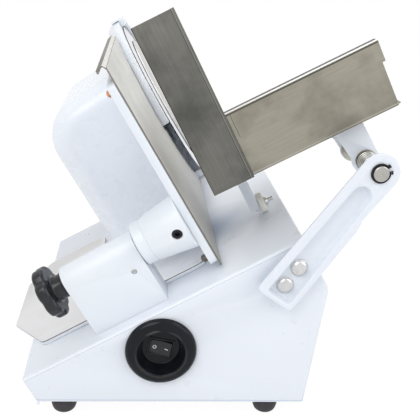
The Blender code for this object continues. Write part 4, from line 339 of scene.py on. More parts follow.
def fence_lines(shader):
    """Painted shade in the hem's fold and a painted highlight on its edge, the shaded left edge, and a
    painted dark reflection on the narrow faces.
    """
    along = shader.level(CARRIAGE, "X")
    # painted shade in the hem's fold
    hem = shader.band(along, -0.1033, -0.1029)
    # painted highlight along the hem's edge
    bright = shader.band(along, -0.1029, -0.1020)
    left = shader.band(along, -0.1402, -0.1393)
    # the narrow faces get a painted dark reflection
    return [(hem, (0.035, 0.034, 0.030)), (bright, (0.24, 0.24, 0.22)), (left, (0.055, 0.035, 0.018)),
            (shader.edges(DEPTHWISE), (0.07, 0.066, 0.055))]


def plate_lines(shader):
    """Painted shade, darker and warmer towards the foot, and a painted dark reflection on the narrow edges.
    """
    streaks = shader.noise(1.0, 3.0, 0.6, shader.scaled((60.0, 14.0, 14.0), (0.0, HEAD_TILT, 0.0)))
    height = shader.maths("MULTIPLY_ADD", streaks, 0.05, shader.level(HEAD, "Z"))
    # painted shade: the plate darker and warmer towards its foot
    low = shader.ramp(height, grey_stops((0.155, 0.70), (0.190, 0.0)))
    return [(low, (0.40, 0.395, 0.375)), (shader.edges(HEAD_AXIS), (0.24, 0.22, 0.20))]


def tray_lines(shader):
    """Painted shade under the boss, painted light on the rim to make it as light as the deck, and a thin line
    of painted shade along its top.
    """
    # painted shade on the tray under the boss
    under = shader.spot((-0.006, -0.112, 0.133), 0.055, 0.75)
    # painted light on the rim's narrow faces
    rim = shader.edges(DECK_UP)
    # a thin line of painted shade along the rim's top
    line = shader.both(rim, shader.band(shader.level(DECK, "Z"), 0.0037, 0.0052))
    return [(under, (0.36, 0.37, 0.40)), (rim, (0.90, 0.92, 0.96)), (line, (0.16, 0.155, 0.15))]


WHITE = painted("white_enamel", (0.80, 0.84, 0.905), (0.785, 0.826, 0.895))
BASE_WHITE = painted("base_enamel", (0.80, 0.84, 0.905), (0.785, 0.826, 0.895), marks=base_seams_and_painted_shade)
WHITE_CAST = painted("white_casting", (0.81, 0.85, 0.90), (0.785, 0.83, 0.89), rough=0.36, peel=0.07)
# The hood's white is a lighter copy of the white enamel: painted light, making up for the shade that falls on
# the hood.
HOOD_WHITE_PAINTED_LIGHT = painted("hood_white_painted_light", (0.87, 0.91, 0.97), (0.85, 0.89, 0.955), rough=0.28, peel=0.03)
SHEET = brushed("stainless_sheet", (0.69, 0.69, 0.66), (0.58, 0.58, 0.55), 0.55, (1100.0, 30.0, 60.0),
                (0.54, 0.54, 0.52), plate_lines, turn=(0.0, HEAD_TILT, 0.0), metal=0.70)
TRAY_SHEET = brushed("tray_sheet", (0.80, 0.80, 0.81), (0.72, 0.72, 0.73), 0.34, (40.0, 1100.0, 40.0),
                     (0.66, 0.66, 0.66), tray_lines, blotch=0.5)
# The trough's dark warm base colour is partly the steel's own stain and partly painted dark reflection of the
# room.
TROUGH_SHEET = brushed("trough_sheet", (0.385, 0.365, 0.305), (0.325, 0.31, 0.26), 0.36, (30.0, 30.0, 1100.0),
                       (0.205, 0.19, 0.155), trough_lines, turn=(0.0, CARRIAGE_TILT, 0.0), blotch=0.9)
# The fence's dark base colour is painted dark reflection: the steel stands for the dark side of the room that
# it mirrors.
FENCE_SHEET = brushed("fence_sheet", (0.205, 0.203, 0.185), (0.160, 0.158, 0.144), 0.38, (1200.0, 60.0, 30.0),
                      (0.085, 0.085, 0.08), fence_lines, turn=(0.0, CARRIAGE_TILT, 0.0), blotch=0.8)
POLISHED = machined("polished_steel", (0.72, 0.72, 0.72), (0.58, 0.58, 0.58), 0.18)
SHAFT_STEEL = lathed("ground_shaft", (0.56, 0.55, 0.52), (0.40, 0.39, 0.36), SHAFT_CENTRE, DEPTHWISE, 0.28)
BLADE_STEEL = lathed("blade_steel", (0.88, 0.89, 0.91), (0.76, 0.77, 0.79), BLADE_CENTRE, HEAD_AXIS, 0.34)
COVER_STEEL = lathed("cover_steel", (0.72, 0.72, 0.71), (0.58, 0.58, 0.57), BLADE_CENTRE, HEAD_AXIS, 0.26,
                     scale=1600.0)
PLATED = machined("plated_steel", (0.62, 0.62, 0.61), (0.46, 0.46, 0.45), 0.34)
SPRING_STEEL = machined("spring_steel", (0.72, 0.72, 0.68), (0.50, 0.50, 0.47), 0.26)
COPPERY = machined("coppery_brass", (0.72, 0.36, 0.20), (0.50, 0.22, 0.12), 0.30)
DARK_SCREW = machined("dark_screw", (0.20, 0.17, 0.14), (0.08, 0.075, 0.07), 0.40)
BRONZE = machined("bush_bronze", (0.52, 0.50, 0.44), (0.38, 0.36, 0.31), 0.34)
BRASS = machined("wheel_brass", (0.72, 0.52, 0.28), (0.56, 0.38, 0.20), 0.30)
BLACK = moulded("black_plastic", (0.016, 0.017, 0.020), (0.032, 0.033, 0.038), 0.30)
GLOSS_BLACK = moulded("gloss_black", (0.010, 0.011, 0.014), (0.020, 0.021, 0.025), 0.18, 700.0, 0.00001,
                      shine=0.42)
BEZEL_BLACK = moulded("bezel_black", (0.006, 0.007, 0.010), (0.009, 0.010, 0.014), 0.15, 600.0, 0.00001,
                      shine=0.20)
BLACK_RUBBER = moulded("black_rubber", (0.040, 0.036, 0.040), (0.075, 0.068, 0.074), 0.52, 900.0, 0.0001)
PHOSPHATED = machined("phosphated_steel", (0.045, 0.045, 0.05), (0.022, 0.022, 0.025), 0.36)
NYLON = moulded("ivory_nylon", (0.90, 0.89, 0.84), (0.82, 0.81, 0.74), 0.42, 500.0, 0.00008)
MARK_WHITE = moulded("mark_white", (0.80, 0.80, 0.80), (0.66, 0.66, 0.66), 0.45)

LOOKS = {
    BASE_WHITE: ["base_housing"],
    WHITE: ["near_support_arm", "far_support_arm", "carriage_bracket", "roller_leg"],
    WHITE_CAST: ["knob_housing", "gauge_boss", "gauge_backing", "blade_frame", "blade_guard"],
    HOOD_WHITE_PAINTED_LIGHT: ["motor_cover"],
    SHEET: ["gauge_plate"],
    COVER_STEEL: ["blade_cover"],
    TRAY_SHEET: ["receiving_tray"],
    TROUGH_SHEET: ["carriage_trough"],
    FENCE_SHEET: ["carriage_fence"],
    BLADE_STEEL: ["blade"],
    SHAFT_STEEL: ["guide_shaft"],
    POLISHED: ["adjusting_rod", "blade_bolt", "blade_shaft", "motor_worm", "near_arm_bolt_1",
               "near_arm_bolt_2", "far_arm_bolt_1", "far_arm_bolt_2", "bracket_screw", "leg_screw",
               "roller_pin"],
    PLATED: ["bottom_plate", "near_nut_plate", "far_nut_plate", "near_spring_washer", "far_spring_washer",
             "lead_screw", "housing_screw", "motor_body", "front_blade_bearing", "rear_blade_bearing"],
    SPRING_STEEL: ["near_spring", "far_spring"],
    COPPERY: ["upper_gauge_screw"],
    DARK_SCREW: ["lower_gauge_screw"],
    BRASS: ["worm_wheel"],
    BRONZE: ["near_bush", "far_bush"],
    BLACK: ["switch_body", "cable_gland"],
    GLOSS_BLACK: ["rocker_button", "thickness_knob"],
    BEZEL_BLACK: ["switch_bezel"],
    BLACK_RUBBER: ["rubber_foot_1", "rubber_foot_2", "rubber_foot_3", "rubber_foot_4"],
    PHOSPHATED: ["near_shaft_clip", "far_shaft_clip", "boss_set_screw"],
    NYLON: ["roller_bearing"],
}
look_of = {name: look for look, names in LOOKS.items() for name in names}
for name, node in nodes.items():
    for material_slot in node.material_slots:
        material_slot.material = look_of[name]


# Meshes

# Points nearer to each other than this become one
MERGE = 0.000002


def finish_mesh(work, name, angle=35.0):
    """Turn a bmesh into a mesh that is smooth up to an angle."""
    bmesh.ops.remove_doubles(work, verts=work.verts, dist=MERGE)
    bmesh.ops.recalc_face_normals(work, faces=work.faces)
    mesh = bpy.data.meshes.new(name)
    work.to_mesh(mesh)
    work.free()
    mesh.shade_smooth()
    mesh.set_sharp_from_angle(angle=math.radians(angle))
    return mesh


def put(name, mesh, look, body, node=None):
    """Place a mesh, in the model's coordinates, as a piece that rides on a body and may stand for a node."""
    mesh.materials.clear()
    mesh.materials.append(look)
    item = bpy.data.objects.new(name, mesh)
    bpy.context.collection.objects.link(item)
    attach(item, body)
    if node:
        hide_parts(node)


def skin(name, rings, matrix, closed=False, angle=35.0):
    """Join rings that have the same number of points, and close the ends unless the rings form a loop."""
    work = bmesh.new()
    rows = [[work.verts.new(matrix @ Vector(point)) for point in ring] for ring in rings]
    pairs = list(zip(rows, rows[1:]))
    if closed:
        pairs.append((rows[-1], rows[0]))
    count = len(rows[0])
    for first, second in pairs:
        for index in range(count):
            after = (index + 1) % count
            work.faces.new((first[index], first[after], second[after], second[index]))
    if not closed:
        work.faces.new(rows[0])
        work.faces.new(list(reversed(rows[-1])))
    return finish_mesh(work, name, angle)


def curve(first, corner, last, steps):
    """Points of a rounded corner, from one of its ends to the other."""
    points = []
    for step in range(steps + 1):
        share = step / steps
        points.append(tuple(
            first * (1.0 - share) ** 2 + corner * 2.0 * share * (1.0 - share) + last * share ** 2))
    return points


def softened(profile, radius, closed=False):
    """Round the corners of a profile of (radius, height) points."""
    points = []
    count = len(profile)
    for index, corner in enumerate(profile):
        here = Vector(corner)
        if not closed and index in (0, count - 1):
            points.append(tuple(here))
            continue
        before = Vector(profile[index - 1]) - here
        after = Vector(profile[(index + 1) % count]) - here
        size = min(radius, 0.45 * before.length, 0.45 * after.length)
        points += curve(here + before.normalized() * size, here, here + after.normalized() * size, 3)
    return points


def circle(radius, height, steps):
    """Points round Z."""
    return [(radius * math.cos(math.tau * step / steps), radius * math.sin(math.tau * step / steps), height)
            for step in range(steps)]


def turned(name, profile, matrix, closed=False, steps=64, soft=0.0004, angle=35.0):
    """Turn a profile of (radius, height) points about Z, solid unless the profile is closed."""
    rings = [circle(radius, height, steps) for radius, height in softened(profile, soft, closed)]
    return skin(name, rings, matrix, closed, angle)


def block(low, high, matrix):
    """A box between two corners."""
    work = bmesh.new()
    bmesh.ops.create_cube(work, size=1.0)
    for vert in work.verts:
        share = vert.co + Vector((0.5, 0.5, 0.5))
        vert.co = matrix @ Vector([a + (b - a) * c for a, b, c in zip(low, high, share)])
    return finish_mesh(work, "block")


def worked(mesh, cutters=(), bevel=0.0, segments=2, angle=30.0, smooth=35.0, joined=()):
    """Join other meshes to a mesh, cut others out of it, round its edges and return the result."""
    item = bpy.data.objects.new("worked", mesh)
    bpy.context.collection.objects.link(item)
    helpers = []
    for number, cutter in enumerate([*joined, *cutters]):
        helper = bpy.data.objects.new("cutter", cutter)
        bpy.context.collection.objects.link(helper)
        helpers.append(helper)
        step = item.modifiers.new("cut", "BOOLEAN")
        step.operation = "UNION" if number < len(joined) else "DIFFERENCE"
        step.solver = "EXACT"
        step.object = helper
    if bevel:
        step = item.modifiers.new("edges", "BEVEL")
        step.width = bevel
        step.segments = segments
        step.limit_method = "ANGLE"
        step.angle_limit = math.radians(angle)
        step.use_clamp_overlap = True
    bpy.context.view_layer.update()
    graph = bpy.context.evaluated_depsgraph_get()
    result = bpy.data.meshes.new_from_object(item.evaluated_get(graph))
    for helper in [item, *helpers]:
        bpy.data.objects.remove(helper, do_unlink=True)
    result.shade_smooth()
    result.set_sharp_from_angle(angle=math.radians(smooth))
    return result


def cleaned(node):
    """A copy of a node's mesh with its flat faces joined up."""
    work = bmesh.new()
    work.from_mesh(nodes[node].data)
    bmesh.ops.remove_doubles(work, verts=work.verts, dist=MERGE)
    bmesh.ops.dissolve_limit(work, angle_limit=math.radians(0.5), verts=work.verts, edges=work.edges)
    mesh = bpy.data.meshes.new(node)
    work.to_mesh(mesh)
    work.free()
    if "custom_normal" in mesh.attributes:
        mesh.attributes.remove(mesh.attributes["custom_normal"])
    return mesh


def replace(node, mesh):
    """Let a mesh stand for a node, on its body and with its material."""
    put(f"{node}_skin", mesh, look_of[node], nodes[node]["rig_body"], node)


def refine(node, bevel, cutters=()):
    """A node's own shape with rounded edges and smooth curves."""
    replace(node, worked(cleaned(node), cutters, bevel))


def centre_of(node):
    low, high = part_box(node)
    return (low + high) / 2.0


# Sheet metal and castings

# Widths of the rounded edges
EDGES = {
    "base_housing": 0.0007, "bottom_plate": 0.0003, "carriage_bracket": 0.0006, "carriage_fence": 0.0003,
    "carriage_trough": 0.0004, "gauge_plate": 0.0003, "receiving_tray": 0.0004, "near_nut_plate": 0.0003,
    "far_nut_plate": 0.0003, "knob_housing": 0.0016, "gauge_backing": 0.0010, "blade_frame": 0.0008,
    "blade_guard": 0.0008, "motor_body": 0.0006, "motor_worm": 0.0004, "worm_wheel": 0.0003,
    "front_blade_bearing": 0.0004, "rear_blade_bearing": 0.0004, "blade_shaft": 0.0004,
    "adjusting_rod": 0.0004, "lead_screw": 0.0004, "switch_body": 0.0002, "rocker_button": 0.0002,
}
for name, width in EDGES.items():
    refine(name, width)


# Support arms

ARM_TURN = DECK_SLOPE + math.radians(26.5)
CHANNEL_END = 0.1440
LOWER_BOLT = 0.1330
UPPER_BOLT = LOWER_BOLT - 0.0208


def panel_ring(outline, y, side):
    """A level outline at a depth behind the near panel, or at the same depth behind the far one."""
    depth = y if side == "near" else PANEL_SPAN - y
    return [(x, depth + NEAR_PANEL, z) for x, z in outline]


def slab(outline, low, high, side):
    """A prism between two depths behind a panel."""
    return skin("slab", [panel_ring(outline, y, side) for y in (low, high)], LEVEL)


def arm_outline(corners):
    """Places along and across the arm, as level X and Z."""
    return [(SHAFT_CENTRE[0] - along * math.cos(ARM_TURN) - across * math.sin(ARM_TURN),
             SHAFT_CENTRE[2] - along * math.sin(ARM_TURN) + across * math.cos(ARM_TURN))
            for along, across in corners]


def half_round(start, radius, steps=20):
    """The end of a channel, from its left side round to its right side."""
    return [(start + radius * math.cos(angle), radius * math.sin(angle)) for angle in
            (math.radians(270.0 - 180.0 * step / steps) for step in range(steps + 1))]


def eased(corners, radii):
    """An outline with each corner rounded by its own radius."""
    points = []
    for index, corner in enumerate(corners):
        here = Vector(corner)
        before = (Vector(corners[index - 1]) - here).normalized() * radii[index]
        after = (Vector(corners[(index + 1) % len(corners)]) - here).normalized() * radii[index]
        if radii[index]:
            points += curve(here + before, here, here + after, 5)
        else:
            points.append(tuple(here))
    return points


def channel(grow):
    """The channel's outline, round at the shaft's end and a little wider at the foot."""
    top, low, end = 0.0080 + grow, 0.0118 + grow, CHANNEL_END + grow
    start = half_round(0.0262, top)
    corners = [start[-1], (end, low), (end, -low), start[0]]
    return start[1:-1] + eased(corners, (0.0, 0.0040, 0.0040, 0.0))


def make_arm(side):
    """A pressed arm: a flat rim, a channel sunk to the panel, the shaft's eye and two bolt holes."""
    eye = half_round(0.0, 0.0178)
    foot = eased([(0.1500, 0.0228), (0.1500, -0.0182), (0.0500, -0.0182), (0.0, 0.0)],
                 (0.0075, 0.0040, 0.0075, 0.0))[:-1]
    rim = slab(arm_outline(eye + foot), -0.0108, -0.0078, side)
    tray = slab(arm_outline(channel(0.0028)), -0.0093, -0.0003, side)
    floor, mouth = arm_outline(channel(0.0)), arm_outline(channel(0.0016))
    rings = [panel_ring(floor, -0.0033, side), panel_ring(mouth, -0.0120, side)]
    cutters = [skin("hollow", rings, LEVEL)]
    for along, radius in ((0.0, 0.0072), (UPPER_BOLT, 0.0033), (LOWER_BOLT, 0.0033)):
        hole = [(along + x, y) for x, y, _ in circle(radius, 0.0, 48)]
        cutters.append(slab(arm_outline(hole), -0.0130, 0.0010, side))
    replace(f"{side}_support_arm", worked(rim, cutters, 0.0008, 3, 35.0, 40.0, joined=[tray]))


make_arm("near")
make_arm("far")


# Leg and tab

def make_leg():
    """The strap down to the roller, folded back along its near edge."""
    inverse = CARRIAGE.inverted()
    places = [inverse @ vert.co for vert in nodes["roller_leg"].data.vertices]
    left = min(place.x for place in places if place.z < 0.0200)
    rings = []
    for v, near, far in ((0.0360, 0.0885, 0.0915), (-0.0187, 0.0922, 0.0944), (-0.0215, 0.0932, 0.0950)):
        rings.append([(left - 0.0070, near, v), (left + 0.0010, near, v), (left + 0.0010, far, v),
                      (left - 0.0070, far, v)])
    flange = skin("flange", rings, CARRIAGE)
    replace("roller_leg", worked(cleaned("roller_leg"), (), 0.0008, 3, joined=[flange]))


make_leg()


def make_tab():
    """The end of the folded bottom edge, seen below the near panel's front corner."""
    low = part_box("base_housing")[0]
    corner = min(vert.co.x for vert in nodes["base_housing"].data.vertices if vert.co.z < low.z + 0.0002)
    mesh = block((corner + 0.0006, NEAR_PANEL, low.z - 0.0036),
                 (corner + 0.0030, NEAR_PANEL + 0.0016, low.z + 0.0004), LEVEL)
    put("bottom_edge_tab", worked(mesh, (), 0.0004), BASE_WHITE, "base")


make_tab()


# Hood over the motor

def make_hood():
    """A shell whose back and top meet in a wide round, and whose sides round over by a smaller one."""
    left, right, near, far, low, top = -0.1178, -0.0098, 0.1800, 0.3515, -0.0300, 0.1880
    drop, side, back = 0.0080, 0.0240, 0.0474
    slope = math.atan2(drop, right - left)
    rise = Vector((-math.sin(slope), math.cos(slope)))
    centre_u = left + back
    crown = top - (right - centre_u) * math.tan(slope)
    centre_v = crown - back / math.cos(slope)
    rounds, sides = 24, 12

    def row(inset):
        """The back, the round and the top, all moved in by the same amount."""
        reach = back - inset
        points = [(left + inset, v) for v in (low, centre_v - 0.5 * back, centre_v - 0.002)]
        for step in range(rounds + 1):
            angle = math.pi - (math.pi / 2.0 - slope) * step / rounds
            points.append((centre_u + reach * math.cos(angle), centre_v + reach * math.sin(angle)))
        last = Vector(points[-1])
        along = Vector((rise.y, -rise.x))
        length = (right - last.x) / along.x
        points += [tuple(last + along * length * share) for share in (0.04, 0.35, 0.7, 1.0)]
        return points

    stations = []
    for step in range(sides + 1):
        angle = math.radians(90.0) * step / sides
        stations.append((near + side * (1.0 - math.sin(angle)), side * (1.0 - math.cos(angle))))
    stations.reverse()
    mirrored = [(near + far - y, inset) for y, inset in reversed(stations)]
    work = bmesh.new()
    rows = [[work.verts.new((u, y, v)) for u, v in row(inset)] for y, inset in stations + mirrored]
    for first, second in zip(rows, rows[1:]):
        for index in range(len(first) - 1):
            work.faces.new((first[index], first[index + 1], second[index + 1], second[index]))
    for edge_row in (rows[0], rows[-1]):
        corner = work.verts.new((right, edge_row[0].co.y, low))
        work.faces.new([*edge_row, corner])
    bmesh.ops.recalc_face_normals(work, faces=work.faces)
    probe = max(work.faces, key=lambda face: face.calc_center_median().z)
    if probe.normal.z < 0.0:
        bmesh.ops.reverse_faces(work, faces=work.faces)
    tilt = HEAD_TILT - DECK_SLOPE
    normal = Vector((math.sin(tilt), 0.0, math.cos(tilt)))
    bmesh.ops.bisect_plane(work, geom=[*work.verts, *work.edges, *work.faces], plane_co=normal * 0.0003,
                           plane_no=normal, clear_inner=True)
    mesh = bpy.data.meshes.new("hood")
    work.to_mesh(mesh)
    work.free()
    item = bpy.data.objects.new("hood", mesh)
    bpy.context.collection.objects.link(item)
    wall = item.modifiers.new("wall", "SOLIDIFY")
    wall.thickness = 0.0025
    wall.offset = -1.0
    bpy.context.view_layer.update()
    graph = bpy.context.evaluated_depsgraph_get()
    shell = bpy.data.meshes.new_from_object(item.evaluated_get(graph))
    bpy.data.objects.remove(item, do_unlink=True)
    shell.transform(HEAD)
    shell.shade_smooth()
    shell.set_sharp_from_angle(angle=math.radians(40.0))
    replace("motor_cover", shell)


make_hood()


# Feet, gland and switch

dome = [(0.0, 0.0), (0.0060, 0.0001), (0.0085, 0.0006), (0.0103, 0.0022), (0.0115, 0.0048), (0.0122, 0.0078),
        (0.0125, 0.0110), (0.0125, 0.0158), (0.0119, 0.0170), (0.0040, 0.0170), (0.0040, 0.0188),
        (0.0054, 0.0188), (0.0040, 0.0217), (0.0, 0.0217)]
for number in range(1, 5):
    name = f"rubber_foot_{number}"
    middle = centre_of(name)
    foot_place = Matrix.Translation((middle.x, middle.y, 0.0))
    replace(name, turned(name, dome, foot_place, soft=0.0006, angle=50.0))

bezel_place = BASE @ Matrix.Translation((0.1294, 0.0, 0.0329))
bezel = [
    (0.0, -0.0060), (0.0176, -0.0060), (0.0188, -0.0020), (0.0206, 0.0040), (0.0220, 0.0078),
    (0.0227, 0.0086), (0.0233, 0.0086), (0.0240, 0.0078), (0.0250, 0.0070), (0.0268, 0.0066),
    (0.0288, 0.0064), (0.0306, 0.0058), (0.0322, 0.0046), (0.0332, 0.0030), (0.0336, 0.0016),
    (0.0336, 0.0003), (0.0238, 0.0003), (0.0238, -0.0082), (0.0, -0.0082)]
bezel_mesh = turned("bezel", bezel, bezel_place @ TURNS["-Y"], steps=128, soft=0.0008, angle=50.0)
switch_place = bezel_place @ Matrix.Rotation(math.radians(11.0), 4, "Y")
window = block((-0.0123, 0.0040, -0.0091), (0.0123, 0.0102, 0.0091), switch_place)
replace("switch_bezel", worked(bezel_mesh, [window], smooth=50.0))

low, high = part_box("cable_gland")
inner = low.x - high.x
gland = [(0.0038, 0.0), (0.0062, 0.0), (0.0068, -0.0006), (0.0082, -0.0026), (0.0082, -0.0052),
         (0.0104, -0.0056), (0.0104, -0.0116), (0.0084, -0.0118), (0.0084, inner), (0.0038, inner)]
middle = centre_of("cable_gland")
gland_place = Matrix.Translation((high.x, middle.y, middle.z)) @ TURNS["X"]
replace("cable_gland", turned("cable_gland", gland, gland_place, closed=True, steps=72))

ROCKER = switch_place @ Matrix.Translation((0.0, 0.0063, 0.0)) @ Matrix.Rotation(math.radians(-7.0), 4, "Z")


def rocker_place(along):
    """A place on the rocker's face, with Z out of it."""
    rise = 0.0015 / 0.0100
    side = 1.0 if along > 0.0 else -1.0
    out = -(0.0019 + rise * abs(along))
    tilt = Matrix.Rotation(-side * math.atan(rise), 4, "Z")
    return ROCKER @ Matrix.Translation((along, out, 0.0)) @ tilt @ TURNS["-Y"]


def ring_mark(name, radius, wire, matrix):
    """A raised ring, half as high as its line is wide."""
    rings = []
    for step in range(48):
        angle = math.tau * step / 48
        out = Vector((math.cos(angle), math.sin(angle), 0.0))
        rings.append([
            out * (radius + wire * math.cos(turn)) + Vector((0.0, 0.0, 0.5 * wire * math.sin(turn)))
            for turn in (math.tau * k / 10 for k in range(10))])
    return skin(name, rings, matrix, closed=True)


put("mark_off", ring_mark("mark_off", 0.00150, 0.00038, rocker_place(-0.0057)), MARK_WHITE, "rocker")
dash = [[(sign * (0.0017 - inset), across * (0.00040 - inset), height)
         for sign, across in ((-1, -1), (1, -1), (1, 1), (-1, 1))]
        for inset, height in ((0.0, -0.0002), (0.0, 0.00008), (0.00012, 0.00018))]
put("mark_on", skin("mark_on", dash, rocker_place(0.0057)), MARK_WHITE, "rocker")


# Bolts, shaft, washers and bushes

def domed_bolt(name, side):
    """A round-headed bolt whose head stands on the arm's channel."""
    middle = centre_of(name)
    y = -0.0036 if side == "near" else PANEL_SPAN + 0.0036
    place = Matrix.Translation((middle.x, NEAR_PANEL + y, middle.z)) @ TURNS["-Y" if side == "near" else "Y"]
    profile = [(0.0, 0.0044)]
    for step in range(1, 13):
        angle = math.radians(90.0 * step / 12)
        profile.append((0.0077 * math.sin(angle), 0.0009 + 0.0035 * math.cos(angle)))
    profile += [(0.0083, 0.0007), (0.0083, 0.0), (0.0030, 0.0), (0.0030, -0.0112), (0.0, -0.0112)]
    return turned(name, profile, place, soft=0.0002, angle=50.0)


for side in ("near", "far"):
    for number in (1, 2):
        name = f"{side}_arm_bolt_{number}"
        replace(name, domed_bolt(name, side))

shaft_place = Matrix.Translation(SHAFT_CENTRE)
shaft_line = shaft_place @ TURNS["Y"]
shaft = [(0.0, -0.0137), (0.0010, -0.0141), (0.0014, -0.0142), (0.0064, -0.0142), (0.0070, -0.0136),
         (0.0070, -0.0125), (0.0064, -0.0125), (0.0064, -0.0108), (0.0070, -0.0108), (0.0070, 0.3628),
         (0.0064, 0.3628), (0.0064, 0.3645), (0.0070, 0.3645), (0.0070, 0.3664), (0.0062, 0.3672),
         (0.0014, 0.3672), (0.0010, 0.3670), (0.0, 0.3666)]
replace("guide_shaft", turned("guide_shaft", shaft, shaft_line, steps=96, soft=0.00015))

for side in ("near", "far"):
    low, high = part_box(f"{side}_spring_washer")
    near, far = low.y - NEAR_PANEL, high.y - NEAR_PANEL
    washer = [(0.0073, far), (0.0098, far), (0.0098, near), (0.0073, near)]
    replace(f"{side}_spring_washer", turned("washer", washer, shaft_line, closed=True, steps=72, soft=0.0003))
    low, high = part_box(f"{side}_bush")
    near, far = low.y - NEAR_PANEL, high.y - NEAR_PANEL
    if side == "near":
        bush = [(0.0073, near), (0.0096, near), (0.0096, near + 0.0033), (0.0120, near + 0.0033),
                (0.0120, far), (0.0073, far)]
    else:
        bush = [(0.0073, near), (0.0120, near), (0.0120, far - 0.0033), (0.0096, far - 0.0033),
                (0.0096, far), (0.0073, far)]
    replace(f"{side}_bush", turned("bush", bush, shaft_line, closed=True, steps=72, soft=0.0003))


def make_spring(side):
    """A helix of round wire about the shaft."""
    low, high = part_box(f"{side}_spring")
    wire, radius, turns, per_turn, sides = 0.0008, 0.00855, 9, 32, 12
    first, last = low.y - NEAR_PANEL + 2.0 * wire, high.y - NEAR_PANEL - 2.0 * wire
    rings = []
    count = turns * per_turn
    climb = (last - first) / (math.tau * turns)
    for step in range(count + 1):
        angle = math.tau * step / per_turn
        out = Vector((math.cos(angle), 0.0, math.sin(angle)))
        along = Vector((-math.sin(angle) * radius, climb, math.cos(angle) * radius)).normalized()
        across = along.cross(out)
        middle = out * radius + Vector((0.0, first + (last - first) * step / count, 0.0))
        rings.append([
            middle + out * wire * math.cos(turn) + across * wire * math.sin(turn)
            for turn in (math.tau * k / sides for k in range(sides))])
    replace(f"{side}_spring", skin("spring", rings, shaft_place))


make_spring("near")
make_spring("far")

LUG_TURNS = (math.radians(6.5), math.radians(45.5))
LUG_REACH = 0.0094
for side in ("near", "far"):
    holes = []
    for turn in LUG_TURNS:
        spot = (SHAFT_CENTRE[0] + LUG_REACH * math.cos(turn), centre_of(f"{side}_shaft_clip").y,
                SHAFT_CENTRE[2] + LUG_REACH * math.sin(turn))
        pin = [(0.0, -0.003), (0.00062, -0.003), (0.00062, 0.003), (0.0, 0.003)]
        holes.append(turned("lug_hole", pin, Matrix.Translation(spot) @ TURNS["Y"], steps=20, soft=0.0))
    refine(f"{side}_shaft_clip", 0.00015, holes)


# Gauge boss, screws and knob

boss_line = HEAD @ Matrix.Translation((0.0, *ROD_LINE)) @ TURNS["X"]
boss = [(0.0103, -0.0096), (0.0275, -0.0096), (0.02179, -0.0473), (0.0206, -0.0481), (0.0212, -0.0489),
        (0.0212, -0.0576), (0.0204, -0.0584), (0.0103, -0.0584)]
boss_mesh = turned("gauge_boss", boss, boss_line, closed=True, steps=96, soft=0.0008)
screw_line = HEAD @ Matrix.Translation((-0.0196, 0.0, ROD_LINE[1])) @ TURNS["Y"]
hole = [(0.0, -0.010), (0.0051, -0.010), (0.0051, ROD_LINE[0]), (0.0, ROD_LINE[0])]
screw_hole = turned("hole", hole, screw_line, steps=48, soft=0.0)
replace("gauge_boss", worked(boss_mesh, [screw_hole], 0.0003))

set_screw = [(0.0, 0.0192), (0.0048, 0.0192), (0.0048, 0.0064), (0.0043, 0.005882), (0.0, 0.005882)]
set_screw_mesh = turned("set_screw", set_screw, screw_line, soft=0.0002)
socket = skin("socket", [circle(0.0027, height, 6) for height in (0.0030, 0.0100)], screw_line)
replace("boss_set_screw", worked(set_screw_mesh, [socket], 0.0001, 1))


def slotted(node, profile, place, slot_box, steps=48):
    """A turned screw with a box cut out of its head."""
    mesh = turned(node, profile, place, steps=steps, soft=0.0003)
    replace(node, worked(mesh, [block(*slot_box, place)], 0.0001, 1))


slotted("housing_screw", [(0.0, 0.0180), (0.0024, 0.0180), (0.0024, 0.0150), (0.0019, 0.0147), (0.0, 0.0147)],
        HEAD @ Matrix.Translation((-0.0730, 0.0, 0.0419)) @ TURNS["Y"],
        ((-0.0030, -0.0003, 0.0140), (0.0030, 0.0003, 0.0157)))


def gauge_screw(node, y, v, spin):
    """A tall screw with a hexagonal head and a rounded end."""
    line = HEAD @ Matrix.Translation((0.0, y, v)) @ TURNS["X"] @ Matrix.Rotation(spin, 4, "Z")
    steps = 48

    def hexagon(radius, height):
        flat = radius * math.cos(math.radians(30.0))
        points = []
        for step in range(steps):
            angle = math.tau * step / steps
            local = (angle + math.radians(30.0)) % math.radians(60.0) - math.radians(30.0)
            reach = min(radius * 0.985, flat / math.cos(local))
            points.append((reach * math.cos(angle), reach * math.sin(angle), height))
        return points

    shank = [circle(radius, height, steps) for radius, height in ((0.0, -0.0018), (0.0019, -0.0018),
                                                                  (0.0019, -0.0096))]
    head = [hexagon(0.0036, -0.0096), hexagon(0.0036, -0.0138)]
    end = [circle(radius, height, steps) for radius, height in ((0.0031, -0.0142), (0.0022, -0.0144),
                                                                (0.0020, -0.0151), (0.0, -0.0151))]
    replace(node, skin(node, shank + head + end, line, angle=28.0))


gauge_screw("upper_gauge_screw", 0.0450, 0.189983, 0.3)
gauge_screw("lower_gauge_screw", 0.0260, 0.0160, 0.1)


